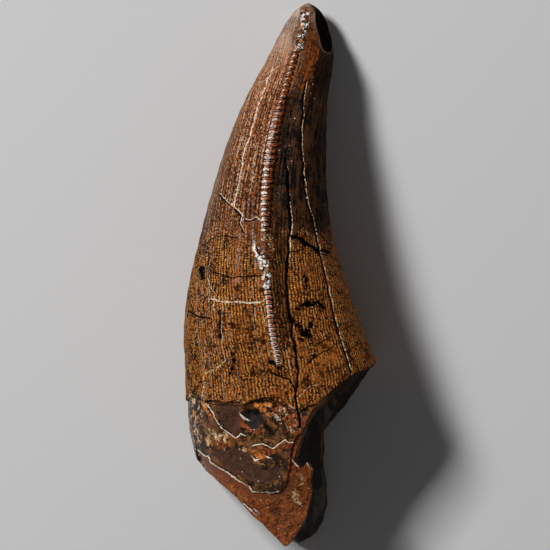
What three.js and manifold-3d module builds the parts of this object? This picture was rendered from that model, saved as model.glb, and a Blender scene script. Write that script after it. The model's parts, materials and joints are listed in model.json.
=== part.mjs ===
// A fossil tooth of a large tyrannosaur, one piece: the serrated crown, the chipped top of the root
// and the hollow pulp cavity that the broken root lays open.
//
// Millimetres. The tooth lies on its back edge: +Y runs to the tip, +X to the side it curls towards,
// and +Z up through the front edge. Places along it are given as the distance down from the tip.

import * as THREE from "three";
import { mergeVertices } from "three/addons/utils/BufferGeometryUtils.js";
import Module from "manifold-3d";

const wasm = await Module();
wasm.setup();

// ---- Driving dimensions -------------------------------------------------------------------------

const TIP_Y = 35.35; // the tip, ahead of the middle of the tooth's length
const ROOT_LENGTH = 74; // tip to root end before the root broke off
const COLUMNS = 36; // round the tooth: half of them on the front, half on the back
const ROWS = 44; // from the tip to the root end
const ROW_CROWDING = 1.6; // rows crowd towards the tip

const KEEL_RISE = 0.35; // the cutting edges stand this far out of the oval section
const PULP_TOP = 36; // where the pulp cavity begins, down from the tip

const DENTICLE_HEIGHT = 0.95; // of which half is sunk in the keel
const DENTICLE_FILL = 0.8; // share of the pitch that a denticle takes, the rest is the slit
const CRACK_RADIUS = 0.22;
const FINEST = 0.02; // facets flatter than this are merged

// ---- Curves along the tooth ---------------------------------------------------------------------

// A smooth value through a few [distance, value] pairs.
function along(pairs, key = (distance) => distance) {
  const curve = new THREE.CubicInterpolant(
    pairs.map(([distance]) => key(distance)),
    pairs.map(([, value]) => value),
    1,
  );
  return (distance) => curve.evaluate(key(distance))[0];
}

// The same for a size that opens from nothing at a rounded end, as a parabola does.
const fromRoundEnd = (pairs) => along(pairs, (distance) => Math.sqrt(Math.max(distance, 0)));

const centreX = along([
  [0, 3.6], [4, 3.22], [7.2, 2.6], [12.2, 0.9], [18.5, -0.52], [24.7, -1.44], [31, -1.82],
  [37, -1.62], [43.4, -0.8], [47, 0.1], [52, 0.7], [59, 0.85], [74, 0.6],
]);
const centreZ = along([
  [0, 2.9], [3, 3.5], [7.5, 5.35], [15.3, 8.35], [23.1, 10.75], [31, 12.2], [38.7, 12.7],
  [46.5, 11.9], [52, 11.05], [59, 10.6], [64, 10.4], [74, 9.9],
]);
const halfWidth = fromRoundEnd([
  [0, 0], [1.7, 2.15], [7.2, 4.3], [12.2, 5.25], [18.5, 6.42], [24.7, 7.47], [31, 8.75],
  [37, 10.35], [43.4, 11.8], [47, 12.5], [52, 13.0], [55.5, 12.9], [59, 12.15], [74, 9.6],
]);
const halfDepth = fromRoundEnd([
  [0, 0], [3, 2.6], [7.5, 4.1], [15.3, 6.0], [23.1, 7.7], [31, 9.0], [38.7, 10.0],
  [46.5, 10.95], [52, 11.25], [59, 11.15], [64, 11.0], [74, 10.4],
]);

// How square the oval is: 2 is an ellipse. The back flattens towards the root, which lies on it.
const frontSquareness = along([[0, 2.0], [20, 2.2], [74, 2.35]]);
const backSquareness = along([[0, 2.0], [25, 2.4], [44, 3.2], [54, 4.6], [74, 5.0]]);

// The two serrated cutting edges, as their X along the tooth.
const frontEdge = {
  side: 1,
  first: 2.6,
  last: 47.4,
  x: along([
    [0, 3.6], [5, 2.45], [10.8, 0.72], [15.3, -0.45], [21.2, -1.5], [28, -1.95], [34, -1.9],
    [38.7, -1.5], [43.3, -0.95], [47.1, -0.2], [74, 0],
  ]),
};
const backEdge = {
  side: -1,
  first: 2.2,
  last: 46.5,
  x: along([[0, 3.6], [8, 2.9], [18, 0.4], [30, -0.9], [42, 0.1], [50, 1.2], [74, 2]]),
};
const denticlePitch = along([
  [0, 0.68], [5, 0.74], [12, 0.76], [18, 0.82], [22, 0.78], [26, 0.7], [36, 0.66], [42, 0.58],
  [50, 0.54],
]);
const denticleWidth = along([
  [0, 0.8], [6, 0.95], [12, 1.2], [18, 1.55], [23, 1.5], [28, 1.2], [36, 0.95], [44, 0.85],
  [50, 0.7],
]);

// Where wear and a knock have crushed the front denticles, and what is left of their height.
const crushed = [
  { from: 0, to: 6.1, share: 0.7 },
  { from: 29.9, to: 36.4, share: 0.45 },
];

// The pulp cavity, down from its own top.
const pulpHalfWidth = fromRoundEnd([[0, 0], [2, 2.4], [8, 4.9], [16, 7.2], [24, 8.7], [38, 9.2]]);
const pulpHalfDepth = fromRoundEnd([[0, 0], [2, 2.0], [8, 4.2], [16, 6.3], [24, 7.5], [38, 8.2]]);

// Tooth wear has cut a flat on the side of the tip that the tooth curls towards.
const wear = {
  facing: THREE.MathUtils.degToRad(35), // above +X
  share: along([[0, 0.82], [2.7, 0.83], [4.3, 0.88], [6.1, 0.945], [7, 1.02], [74, 1.2]]), // of the half width
};

// ---- The skin -----------------------------------------------------------------------------------

const signedPower = (value, power) => Math.sign(value) * Math.abs(value) ** power;

// Angle round the section at which a cutting edge lies. 0 is +X and a quarter turn is +Z.
function edgeAngle(edge, distance, squareness) {
  const share = (edge.x(distance) - centreX(distance)) / Math.max(halfWidth(distance), 0.1);
  const held = THREE.MathUtils.clamp(share, -0.8, 0.8);
  return Math.acos(signedPower(held, squareness / 2)) * edge.side;
}

// The angles of a ring's columns: from -X over the front edge to +X, and back under the back edge.
// Columns crowd towards each edge, and one column lies on it.
function ringAngles(distance) {
  const front = edgeAngle(frontEdge, distance, frontSquareness(distance));
  const back = edgeAngle(backEdge, distance, backSquareness(distance));
  const corners = [Math.PI, front, 0, back, -Math.PI];
  const perQuarter = COLUMNS / 4;
  const angles = [];
  for (let quarter = 0; quarter < 4; quarter++) {
    for (let step = 0; step < perQuarter; step++) {
      const share = step / perQuarter;
      const eased = quarter % 2 === 0 ? 1 - (1 - share) ** 1.35 : share ** 1.35;
      angles.push(THREE.MathUtils.lerp(corners[quarter], corners[quarter + 1], eased));
    }
  }
  angles.push(Math.PI); // the seam, back where the ring began
  return angles;
}

// A keel fades in below the tip and out where its denticles end.
function keelRise(edge, distance) {
  const fadeIn = THREE.MathUtils.smoothstep(distance, 0, 4);
  return KEEL_RISE * fadeIn * (1 - THREE.MathUtils.smoothstep(distance, edge.last - 2, edge.last + 2));
}

// A point of the skin, moved in by inset. The root's back is worn flat where it lies, at height 0.
function skinPoint(distance, angle, inset = 0) {
  const squareness = Math.sin(angle) >= 0 ? frontSquareness(distance) : backSquareness(distance);
  const width = Math.max(halfWidth(distance) - inset, 0);
  const depth = Math.max(halfDepth(distance) - inset, 0);
  let x = width * signedPower(Math.cos(angle), 2 / squareness);
  let z = depth * signedPower(Math.sin(angle), 2 / squareness);
  const flat = halfWidth(distance) * wear.share(distance);
  const proud = x * Math.cos(wear.facing) + z * Math.sin(wear.facing) - flat;
  if (proud > 0) {
    x -= proud * Math.cos(wear.facing);
    z -= proud * Math.sin(wear.facing);
  }
  const height = Math.max(centreZ(distance) + z, inset);
  return new THREE.Vector3(centreX(distance) + x, TIP_Y - distance, height);
}

// The height of the front or the back skin over a place, by searching its ring.
function skinHeight(side, x, distance) {
  const squareness = side > 0 ? frontSquareness(distance) : backSquareness(distance);
  const share = THREE.MathUtils.clamp((x - centreX(distance)) / halfWidth(distance), -1, 1);
  const rise = (1 - Math.abs(share) ** squareness) ** (1 / squareness);
  return centreZ(distance) + side * halfDepth(distance) * rise;
}

// A closed solid of revolution-like rings: a sphere's grid with each vertex put in its place.
function lofted(columns, rows, place) {
  const geometry = new THREE.SphereGeometry(1, columns, rows);
  const position = geometry.getAttribute("position");
  for (let row = 0; row <= rows; row++) {
    for (let column = 0; column <= columns; column++) {
      const point = place(row, column);
      position.setXYZ(row * (columns + 1) + column, point.x, point.y, point.z);
    }
  }
  return geometry;
}

// The tooth's outside, before anything broke off. The last row closes the root end.
function outside(inset = 0) {
  return lofted(COLUMNS, ROWS, (row, column) => {
    const distance = ROOT_LENGTH * Math.min(row / (ROWS - 1), 1) ** ROW_CROWDING;
    if (row === ROWS) return new THREE.Vector3(centreX(distance), TIP_Y - distance, centreZ(distance));
    const point = skinPoint(distance, ringAngles(distance)[column], inset);
    if (row > 0 && column === COLUMNS / 4) point.z += keelRise(frontEdge, distance);
    if (row > 0 && column === (3 * COLUMNS) / 4) point.z -= keelRise(backEdge, distance);
    return point;
  });
}

// The pulp cavity, which follows the tooth's middle and runs out past the root end.
function pulpCavity() {
  const columns = 24;
  const rows = 12;
  const length = ROOT_LENGTH + 2 - PULP_TOP;
  return lofted(columns, rows, (row, column) => {
    const down = length * Math.min(row / (rows - 1), 1) ** ROW_CROWDING;
    const distance = PULP_TOP + down;
    const angle = Math.PI - (column / columns) * 2 * Math.PI;
    const open = row === rows ? 0 : 1;
    return new THREE.Vector3(
      centreX(distance) + open * pulpHalfWidth(down) * Math.cos(angle),
      TIP_Y - distance,
      centreZ(distance) + open * pulpHalfDepth(down) * Math.sin(angle),
    );
  });
}

// ---- Breaks, flakes and cracks ------------------------------------------------------------------

// The broken rim, seen from the front, as [x, y] pairs. The front wall has lost more than the back
// wall, so the fracture slants down from the first outline to the second.
const frontBreak = [
  [14.9, -9.8], [12.4, -11.4], [9.3, -12.9], [7.1, -14.4], [5.1, -16.1], [3.8, -17.6], [2.8, -19.8],
  [2.1, -22.2], [1.5, -23.9], [2.3, -25.0], [3.4, -24.1], [4.0, -25.1], [3.7, -27.4], [3.4, -29.4],
  [2.8, -31.7], [2.1, -33.0], [0.5, -35.35], [-2.4, -32.4], [-5.3, -29.4], [-8.4, -26.7],
  [-10.1, -25.2], [-11.3, -23.5],
];
const backBreak = [
  [14.9, -9.8], [12.6, -11.6], [11.2, -13.3], [9.9, -15.1], [8.5, -17.2], [7.2, -19.0], [5.8, -20.5],
  [5.9, -22.3], [5.95, -23.9], [5.95, -25.0], [6.0, -25.8], [6.1, -26.9], [6.2, -28.4], [6.2, -30.1],
  [5.8, -32.0], [4.8, -33.7], [2.6, -35.0], [-1.4, -33.0], [-4.4, -30.0], [-7.6, -27.2],
  [-9.5, -25.6], [-10.8, -24.0],
];
const beyond = [[-16, -20], [-16, -48], [30, -48], [30, -9]]; // outside the tooth, round the break
const breakLevels = [
  { z: -3, front: 0 }, { z: 3, front: 0.08 }, { z: 12, front: 0.5 }, { z: 19, front: 0.9 }, { z: 28, front: 1 },
];

function fracture() {
  const far = [...backBreak, ...beyond];
  const near = [...frontBreak, ...beyond];
  const count = near.length;
  const points = [];
  for (const level of breakLevels) {
    near.forEach(([x, y], i) => {
      points.push(
        THREE.MathUtils.lerp(far[i][0], x, level.front),
        THREE.MathUtils.lerp(far[i][1], y, level.front),
        level.z,
      );
    });
  }
  const faces = [];
  for (let level = 0; level < breakLevels.length - 1; level++) {
    for (let i = 0; i < count; i++) {
      const a = level * count + i;
      const b = level * count + ((i + 1) % count);
      faces.push(a, b, a + count, b, b + count, a + count);
    }
  }
  const top = (breakLevels.length - 1) * count;
  const outline = (ring) => ring.map(([x, y]) => new THREE.Vector2(x, y));
  for (const [a, b, c] of THREE.ShapeUtils.triangulateShape(outline(far), [])) faces.push(a, c, b);
  for (const [a, b, c] of THREE.ShapeUtils.triangulateShape(outline(near), [])) {
    faces.push(top + a, top + b, top + c);
  }
  const geometry = new THREE.BufferGeometry();
  geometry.setAttribute("position", new THREE.Float32BufferAttribute(points, 3));
  geometry.setIndex(faces);
  return geometry;
}

// Layers that have flaked off the front of the root, each an outline as [x, y] pairs and a depth
// below the skin: the step where the enamel ends, a bay under it with a deeper pocket, and the bare
// inner dentine below a long ledge.
const flakes = [
  {
    depth: 0.28,
    outline: [
      [-14, -16.3], [-12.3, -16.4], [-11.2, -15.7], [-9.9, -16.5], [-7.2, -16.7], [-4.6, -16.8],
      [-3.0, -16.3], [-1.6, -16.0], [-0.4, -16.6], [0.8, -17.1], [1.8, -17.6], [2.8, -17.5],
      [3.8, -17.1], [9.0, -16.2], [9, -40], [-14, -40],
    ],
  },
  {
    depth: 0.5,
    outline: [
      [-9.6, -16.9], [-8.4, -18.9], [-7.6, -20.1], [-5.8, -21.3], [-4.7, -21.0], [-3.6, -22.3],
      [-2.4, -22.0], [-1.1, -22.6], [0.5, -21.5], [1.5, -21.9], [2.1, -20.2], [0.1, -18.1],
      [-1.6, -16.3], [-4.6, -17.1],
    ],
  },
  {
    depth: 0.95,
    outline: [[-5.3, -17.9], [-4.0, -17.5], [-2.7, -17.9], [-2.4, -18.9], [-2.9, -20.0], [-4.9, -19.6]],
  },
  {
    depth: 0.9,
    outline: [
      [-13.0, -22.2], [-11.1, -22.6], [-9.8, -23.7], [-9.2, -24.4], [-7.2, -25.6], [-5.3, -26.9],
      [-3.7, -28.3], [-1.4, -28.4], [-0.3, -28.2], [0.6, -27.4], [1.0, -26.3], [1.4, -22.4],
      [2.2, -20.8], [8, -22.6], [8, -40], [-14, -40],
    ],
  },
];

function flakeBlock({ outline }) {
  const shape = new THREE.Shape(outline.map(([x, y]) => new THREE.Vector2(x, y)));
  return new THREE.ExtrudeGeometry(shape, { depth: 20, bevelEnabled: false }).translate(0, 0, 6);
}

// The long cracks of the front, as [x, distance from the tip] pairs.
const cracks = [
  [
    [0.75, 20.5], [1.0, 24.4], [1.1, 27.3], [1.4, 29.9], [0.95, 32.5], [0.85, 36.1], [0.95, 39.8],
    [1.5, 43.4], [2.0, 46.3], [2.2, 49.9], [2.1, 52.4], [2.6, 55.4],
  ],
  [
    [3.6, 10.8], [3.1, 14.7], [3.0, 19.2], [3.1, 22.9], [3.9, 27.3], [5.0, 31.9], [6.2, 36.9],
    [7.2, 41.0], [8.3, 44.8], [9.2, 47.8],
  ],
  [[-1.6, 10.1], [-2.9, 13.5], [-4.0, 17.6], [-4.9, 20.2], [-5.3, 23.1], [-6.0, 26.8]],
];

function crackTube(path) {
  const onSkin = ([x, distance]) => new THREE.Vector3(x, TIP_Y - distance, skinHeight(1, x, distance));
  const section = new THREE.Shape();
  const sides = 4;
  for (let i = 0; i < sides; i++) {
    const angle = (i / sides) * 2 * Math.PI;
    const corner = [CRACK_RADIUS * Math.cos(angle), CRACK_RADIUS * Math.sin(angle)];
    if (i === 0) section.moveTo(...corner);
    else section.lineTo(...corner);
  }
  const extrudePath = new THREE.CatmullRomCurve3(path.map(onSkin));
  return new THREE.ExtrudeGeometry(section, { steps: path.length, extrudePath, bevelEnabled: false });
}

// ---- Denticles ----------------------------------------------------------------------------------

// One denticle, a chisel set across the edge: broad at its foot and narrow at its crest.
function denticle(width, length, height) {
  const chisel = new THREE.BoxGeometry(width, length, height);
  const position = chisel.getAttribute("position");
  for (let i = 0; i < position.count; i++) {
    if (position.getZ(i) < 0) continue;
    position.setX(i, position.getX(i) * 0.5);
    position.setY(i, position.getY(i) * 0.85);
  }
  return chisel;
}

// All denticles of one edge, each turned to stand square on it.
function denticles(edge) {
  const made = [];
  const edgePoint = (distance) =>
    new THREE.Vector3(
      edge.x(distance),
      TIP_Y - distance,
      skinHeight(edge.side, edge.x(distance), distance) + edge.side * keelRise(edge, distance),
    );
  for (let distance = edge.first; distance < edge.last; distance += denticlePitch(distance)) {
    const pitch = denticlePitch(distance);
    const forward = edgePoint(distance - pitch / 2).sub(edgePoint(distance + pitch / 2));
    const length = forward.length() * DENTICLE_FILL;
    const hurt = edge === frontEdge && crushed.find(({ from, to }) => distance > from && distance < to);
    const runOut = 1 - 0.45 * THREE.MathUtils.smoothstep(distance, edge.last - 8, edge.last);
    const height = DENTICLE_HEIGHT * runOut * (hurt ? hurt.share : 1);
    const outward = new THREE.Vector3(0, 0, edge.side);
    const across = forward.clone().normalize().cross(outward).normalize();
    const up = across.clone().cross(forward).normalize();
    const stand = new THREE.Matrix4().makeBasis(across, forward.normalize(), up);
    stand.setPosition(edgePoint(distance));
    made.push(denticle(denticleWidth(distance), length, height).applyMatrix4(stand));
  }
  return made;
}

// ---- Joining and cutting ------------------------------------------------------------------------

function solid(geometry) {
  const bare = new THREE.BufferGeometry();
  const source = geometry.index ? geometry.toNonIndexed() : geometry;
  bare.setAttribute("position", source.getAttribute("position"));
  const merged = mergeVertices(bare, 1e-4);
  const made = new wasm.Manifold(
    new wasm.Mesh({
      numProp: 3,
      vertProperties: merged.getAttribute("position").array,
      triVerts: new Uint32Array(merged.index.array),
    }),
  );
  if (made.volume() <= 0) throw new Error("a solid is inside out");
  return made;
}

function geometryOf(made) {
  const { vertProperties, triVerts } = made.getMesh();
  const geometry = new THREE.BufferGeometry();
  geometry.setAttribute("position", new THREE.BufferAttribute(new Float32Array(vertProperties), 3));
  geometry.setIndex(new THREE.BufferAttribute(new Uint32Array(triVerts), 1));
  return geometry;
}

let body = solid(outside());
for (const flake of flakes) {
  body = body.subtract(solid(flakeBlock(flake)).subtract(solid(outside(flake.depth))));
}
for (const path of cracks) body = body.subtract(solid(crackTube(path)));
for (const edge of [frontEdge, backEdge]) {
  for (const chisel of denticles(edge)) body = body.add(solid(chisel));
}
body = body.subtract(solid(pulpCavity())).subtract(solid(fracture())).simplify(FINEST);

const enamel = new THREE.MeshStandardMaterial({ color: 0x7a4b28, roughness: 0.38, metalness: 0 });
const tooth = new THREE.Mesh(geometryOf(body), enamel);
tooth.name = "tooth";

// The origin is the middle of the patch of surface that the tooth covers.
tooth.geometry.computeBoundingBox();
const { min, max } = tooth.geometry.boundingBox;
tooth.position.set(-(min.x + max.x) / 2, -(min.y + max.y) / 2, -min.z);

const fossil = new THREE.Group();
fossil.add(tooth);

export default fossil;
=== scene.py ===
# %% [markdown]
# # A fossil tooth of a large tyrannosaur
#
# The tooth is a single natural piece: a thick crown of brown enamel with a row of small chisels
# (denticles) down its front and its back edge, and below it the top of a broken, hollow root.
# It lies on its back edge. This lesson draws a plain ring of vertices out into the tooth, carves the
# keels, cracks and flaked layers into it, sets the denticles on it, breaks the root open with
# boolean cutters, and then paints it with procedural materials.
#
# All measures of the tooth are in millimetres, in its own place: +Y runs to the tip, +X to the side
# that the tip leans to, and +Z up through the front edge. Places along it are given as `down`, the
# distance down from the tip. Blender's metres come in only when vertices are read or written.

# %% The frame
import json
import math
from itertools import product

import bpy
import numpy as np
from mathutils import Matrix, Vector

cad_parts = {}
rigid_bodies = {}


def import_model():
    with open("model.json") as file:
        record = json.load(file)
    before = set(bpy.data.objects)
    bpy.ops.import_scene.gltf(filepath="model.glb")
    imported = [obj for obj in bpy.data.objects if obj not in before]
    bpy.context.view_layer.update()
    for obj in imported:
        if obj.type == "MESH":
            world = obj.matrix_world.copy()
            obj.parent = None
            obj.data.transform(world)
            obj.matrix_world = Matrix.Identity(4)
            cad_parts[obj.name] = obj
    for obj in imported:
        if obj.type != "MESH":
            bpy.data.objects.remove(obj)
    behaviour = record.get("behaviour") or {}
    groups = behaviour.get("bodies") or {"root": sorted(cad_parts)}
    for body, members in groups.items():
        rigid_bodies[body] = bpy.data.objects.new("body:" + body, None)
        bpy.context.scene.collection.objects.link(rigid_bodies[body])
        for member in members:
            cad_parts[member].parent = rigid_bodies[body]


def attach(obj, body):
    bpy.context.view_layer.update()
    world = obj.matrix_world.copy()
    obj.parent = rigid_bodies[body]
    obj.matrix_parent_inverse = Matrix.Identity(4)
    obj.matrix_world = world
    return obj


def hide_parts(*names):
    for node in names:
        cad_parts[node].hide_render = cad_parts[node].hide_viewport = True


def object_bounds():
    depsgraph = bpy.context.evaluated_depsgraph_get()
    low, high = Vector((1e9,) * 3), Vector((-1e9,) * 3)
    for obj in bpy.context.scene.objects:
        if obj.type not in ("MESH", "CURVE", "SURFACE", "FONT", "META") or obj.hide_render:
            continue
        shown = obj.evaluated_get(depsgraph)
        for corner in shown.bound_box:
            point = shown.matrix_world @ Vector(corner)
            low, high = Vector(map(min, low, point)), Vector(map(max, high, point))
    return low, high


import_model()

cad_low, cad_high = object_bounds()
print("the tooth measures", [round(1000 * side, 1) for side in cad_high - cad_low], "mm")

# %% [markdown]
# The outline of a tooth changes smoothly, so it is held as a few sizes at known distances from the
# tip, with a smooth curve through them. At a rounded end a size opens like the square root of the
# distance, as in a parabola, so those curves run over the square root.

# %% Curves along the tooth
def along(pairs, key=lambda distance: distance):
    """A smooth value through a few (distance, value) pairs."""
    at = np.array([key(distance) for distance, _ in pairs], float)
    values = np.array([value for _, value in pairs], float)
    slopes = np.diff(values) / np.diff(at)
    tangents = np.concatenate([[0], (slopes[1:] + slopes[:-1]) / 2, [0]])

    def value(distance):
        x = np.clip(key(np.asarray(distance, float)), at[0], at[-1])
        i = np.clip(np.searchsorted(at, x, side="right") - 1, 0, len(at) - 2)
        step = at[i + 1] - at[i]
        p = (x - at[i]) / step
        return (
            (1 + 2 * p) * (1 - p) ** 2 * values[i]
            + p * (1 - p) ** 2 * step * tangents[i]
            + p * p * (3 - 2 * p) * values[i + 1]
            + p * p * (p - 1) * step * tangents[i + 1]
        )

    return value


def from_round_end(pairs):
    return along(pairs, lambda distance: np.sqrt(np.maximum(distance, 0)))


TIP_Y = 35.35
ROOT_LENGTH = 74
centre_x = along([
    (0, 3.6), (4, 3.22), (7.2, 2.6), (12.2, 0.9), (18.5, -0.52), (24.7, -1.44), (31, -1.82),
    (37, -1.62), (43.4, -0.8), (47, 0.1), (52, 0.7), (59, 0.85), (74, 0.6),
])
centre_z = along([
    (0, 2.9), (3, 3.5), (7.5, 5.35), (15.3, 8.35), (23.1, 10.75), (31, 12.2), (38.7, 12.7),
    (46.5, 11.9), (52, 11.05), (59, 10.6), (64, 10.4), (74, 9.9),
])
half_width = from_round_end([
    (0, 0), (1.7, 2.15), (7.2, 4.3), (12.2, 5.25), (18.5, 6.42), (24.7, 7.47), (31, 8.75),
    (37, 10.35), (43.4, 11.8), (47, 12.5), (52, 13.0), (55.5, 12.9), (59, 12.15), (74, 9.6),
])
half_depth = from_round_end([
    (0, 0), (3, 2.6), (7.5, 4.1), (15.3, 6.0), (23.1, 7.7), (31, 9.0), (38.7, 10.0),
    (46.5, 10.95), (52, 11.25), (59, 11.15), (64, 11.0), (74, 10.4),
])
front_squareness = along([(0, 2.0), (20, 2.2), (74, 2.35)])
back_squareness = along([(0, 2.0), (25, 2.4), (44, 3.2), (54, 4.6), (74, 5.0)])
front_edge = along([
    (0, 3.6), (5, 2.45), (10.8, 0.72), (15.3, -0.45), (21.2, -1.5), (28, -1.95), (34, -1.9),
    (38.7, -1.5), (43.3, -0.95), (47.1, -0.2), (74, 0),
])
back_edge = along([(0, 3.6), (8, 2.9), (18, 0.4), (30, -0.9), (42, 0.1), (50, 1.2), (74, 2)])

reach = np.linspace(0, ROOT_LENGTH, 400)
leftmost = float(np.min(centre_x(reach) - half_width(reach)))
SHIFT = np.array([1000 * cad_low.x - leftmost, 1000 * cad_high.y - TIP_Y, 1000 * cad_low.z])
FRONT_LAST = 47.4 # where each edge's keel and denticles end, down from the tip
BACK_LAST = 46.5
BACK_ROOT = 50.5 # where the enamel ends on the back
print("the tooth's own place is shifted by", SHIFT.round(3), "mm to lie in the frame")

# %% [markdown]
# Operators work on what is selected, so one helper deselects everything first. Others read and
# write all vertices at once as rows of numbers, which is how the carving is done here: a sculptor's
# brush moves many vertices by a rule, and so does a formula. A repeatable random relief, `bumps`,
# stands for the unevenness of the real thing.

# %% Helpers for shaping
def only(thing):
    if bpy.context.object and bpy.context.object.mode != "OBJECT":
        bpy.ops.object.mode_set(mode="OBJECT")
    bpy.ops.object.select_all(action="DESELECT")
    thing.select_set(True)
    bpy.context.view_layer.objects.active = thing


def places(thing):
    """The vertices in the tooth's own millimetres."""
    rows = np.empty(3 * len(thing.data.vertices))
    thing.data.vertices.foreach_get("co", rows)
    return rows.reshape(-1, 3) * 1000 - SHIFT


def put(thing, rows):
    thing.data.vertices.foreach_set("co", ((rows + SHIFT) / 1000).ravel())
    thing.data.update()


def outward(thing):
    rows = np.empty(3 * len(thing.data.vertices), np.float32)
    thing.data.vertex_normals.foreach_get("vector", rows)
    return rows.reshape(-1, 3).astype(float)


def apply_modifier(thing, kind, **settings):
    only(thing)
    modifier = thing.modifiers.new(kind.lower(), kind)
    for name, value in settings.items():
        setattr(modifier, name, value)
    bpy.ops.object.modifier_apply(modifier=modifier.name)


def face_outwards(thing):
    only(thing)
    bpy.ops.object.mode_set(mode="EDIT")
    bpy.ops.mesh.select_all(action="SELECT")
    bpy.ops.mesh.normals_make_consistent(inside=False)
    bpy.ops.object.mode_set(mode="OBJECT")


def ease(low, high, value):
    """0 below low, 1 above high, and a smooth rise between them."""
    share = np.clip((value - low) / (high - low), 0, 1)
    return share * share * (3 - 2 * share)


def chance(cells, seed):
    """A repeatable number from 0 to 1 for each whole-numbered cell."""
    mixed = cells[:, 0] * 73856093 ^ cells[:, 1] * 19349663 ^ cells[:, 2] * 83492791 ^ seed * 9781
    mixed = (mixed ^ (mixed >> 13)) * 1274126177
    return ((mixed ^ (mixed >> 16)) & 0xFFFFFF) / 0xFFFFFF


def bumps(points, size, seed):
    """A smooth random relief from -1 to 1, with lumps of about that size."""
    scaled = points / size
    base = np.floor(scaled).astype(np.int64)
    part = ease(0, 1, scaled - base)
    total = np.zeros(len(points))
    for corner in product((0, 1), repeat=3):
        weight = np.prod(np.where(corner, part, 1 - part), axis=1)
        total += weight * chance(base + np.array(corner), seed)
    return 2 * total - 1

# %% [markdown]
# The features of the tooth are drawn as lines and outlines on its front or its back, as
# (x, down) pairs in millimetres. What each vertex needs to know is how far it is from a line, and
# on which side: a signed distance changes evenly across the line, so it stays sharp even between
# two vertices.

# %% Distances to lines and outlines
def to_line(flat, line):
    """Signed distance to a line of (x, down) points: positive to its left as it is walked."""
    nearest = np.full(len(flat), np.inf)
    signed = np.zeros(len(flat))
    for start, end in zip(line, line[1:]):
        start, run = np.array(start), np.subtract(end, start)
        share = np.clip((flat - start) @ run / (run @ run), 0, 1)
        gap = flat - start - share[:, None] * run
        distance = np.hypot(gap[:, 0], gap[:, 1])
        side = np.where(run[0] * gap[:, 1] - run[1] * gap[:, 0] > 0, -1, 1)
        closer = distance < nearest
        nearest = np.where(closer, distance, nearest)
        signed = np.where(closer, side * distance, signed)
    return signed


def line_runs(line):
    """The length of each straight stretch of a line."""
    return np.hypot(*np.diff(np.array(line, float), axis=0).T)


def to_outline(flat, outline):
    """Signed distance to a closed outline: positive inside it."""
    x, down = flat[:, 0], flat[:, 1]
    inside = np.zeros(len(flat), bool)
    for (x1, d1), (x2, d2) in zip(outline, outline[1:] + outline[:1]):
        if d1 != d2:
            crossing = (d1 > down) != (d2 > down)
            inside ^= crossing & (x < (x2 - x1) * (down - d1) / (d2 - d1) + x1)
    distance = np.abs(to_line(flat, outline + outline[:1]))
    return np.where(inside, distance, -distance)


def wobbled(rows):
    """The places as (x, down), shifted a little each way so that a line drawn straight runs uneven."""
    flat = np.column_stack([rows[:, 0], TIP_Y - rows[:, 1]])
    for size, reach, seed in ((0.9, 0.1, 5), (0.35, 0.07, 7)):
        flat += reach * np.column_stack([bumps(rows, size, seed), bumps(rows, size, seed + 1)])
    return flat
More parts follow.
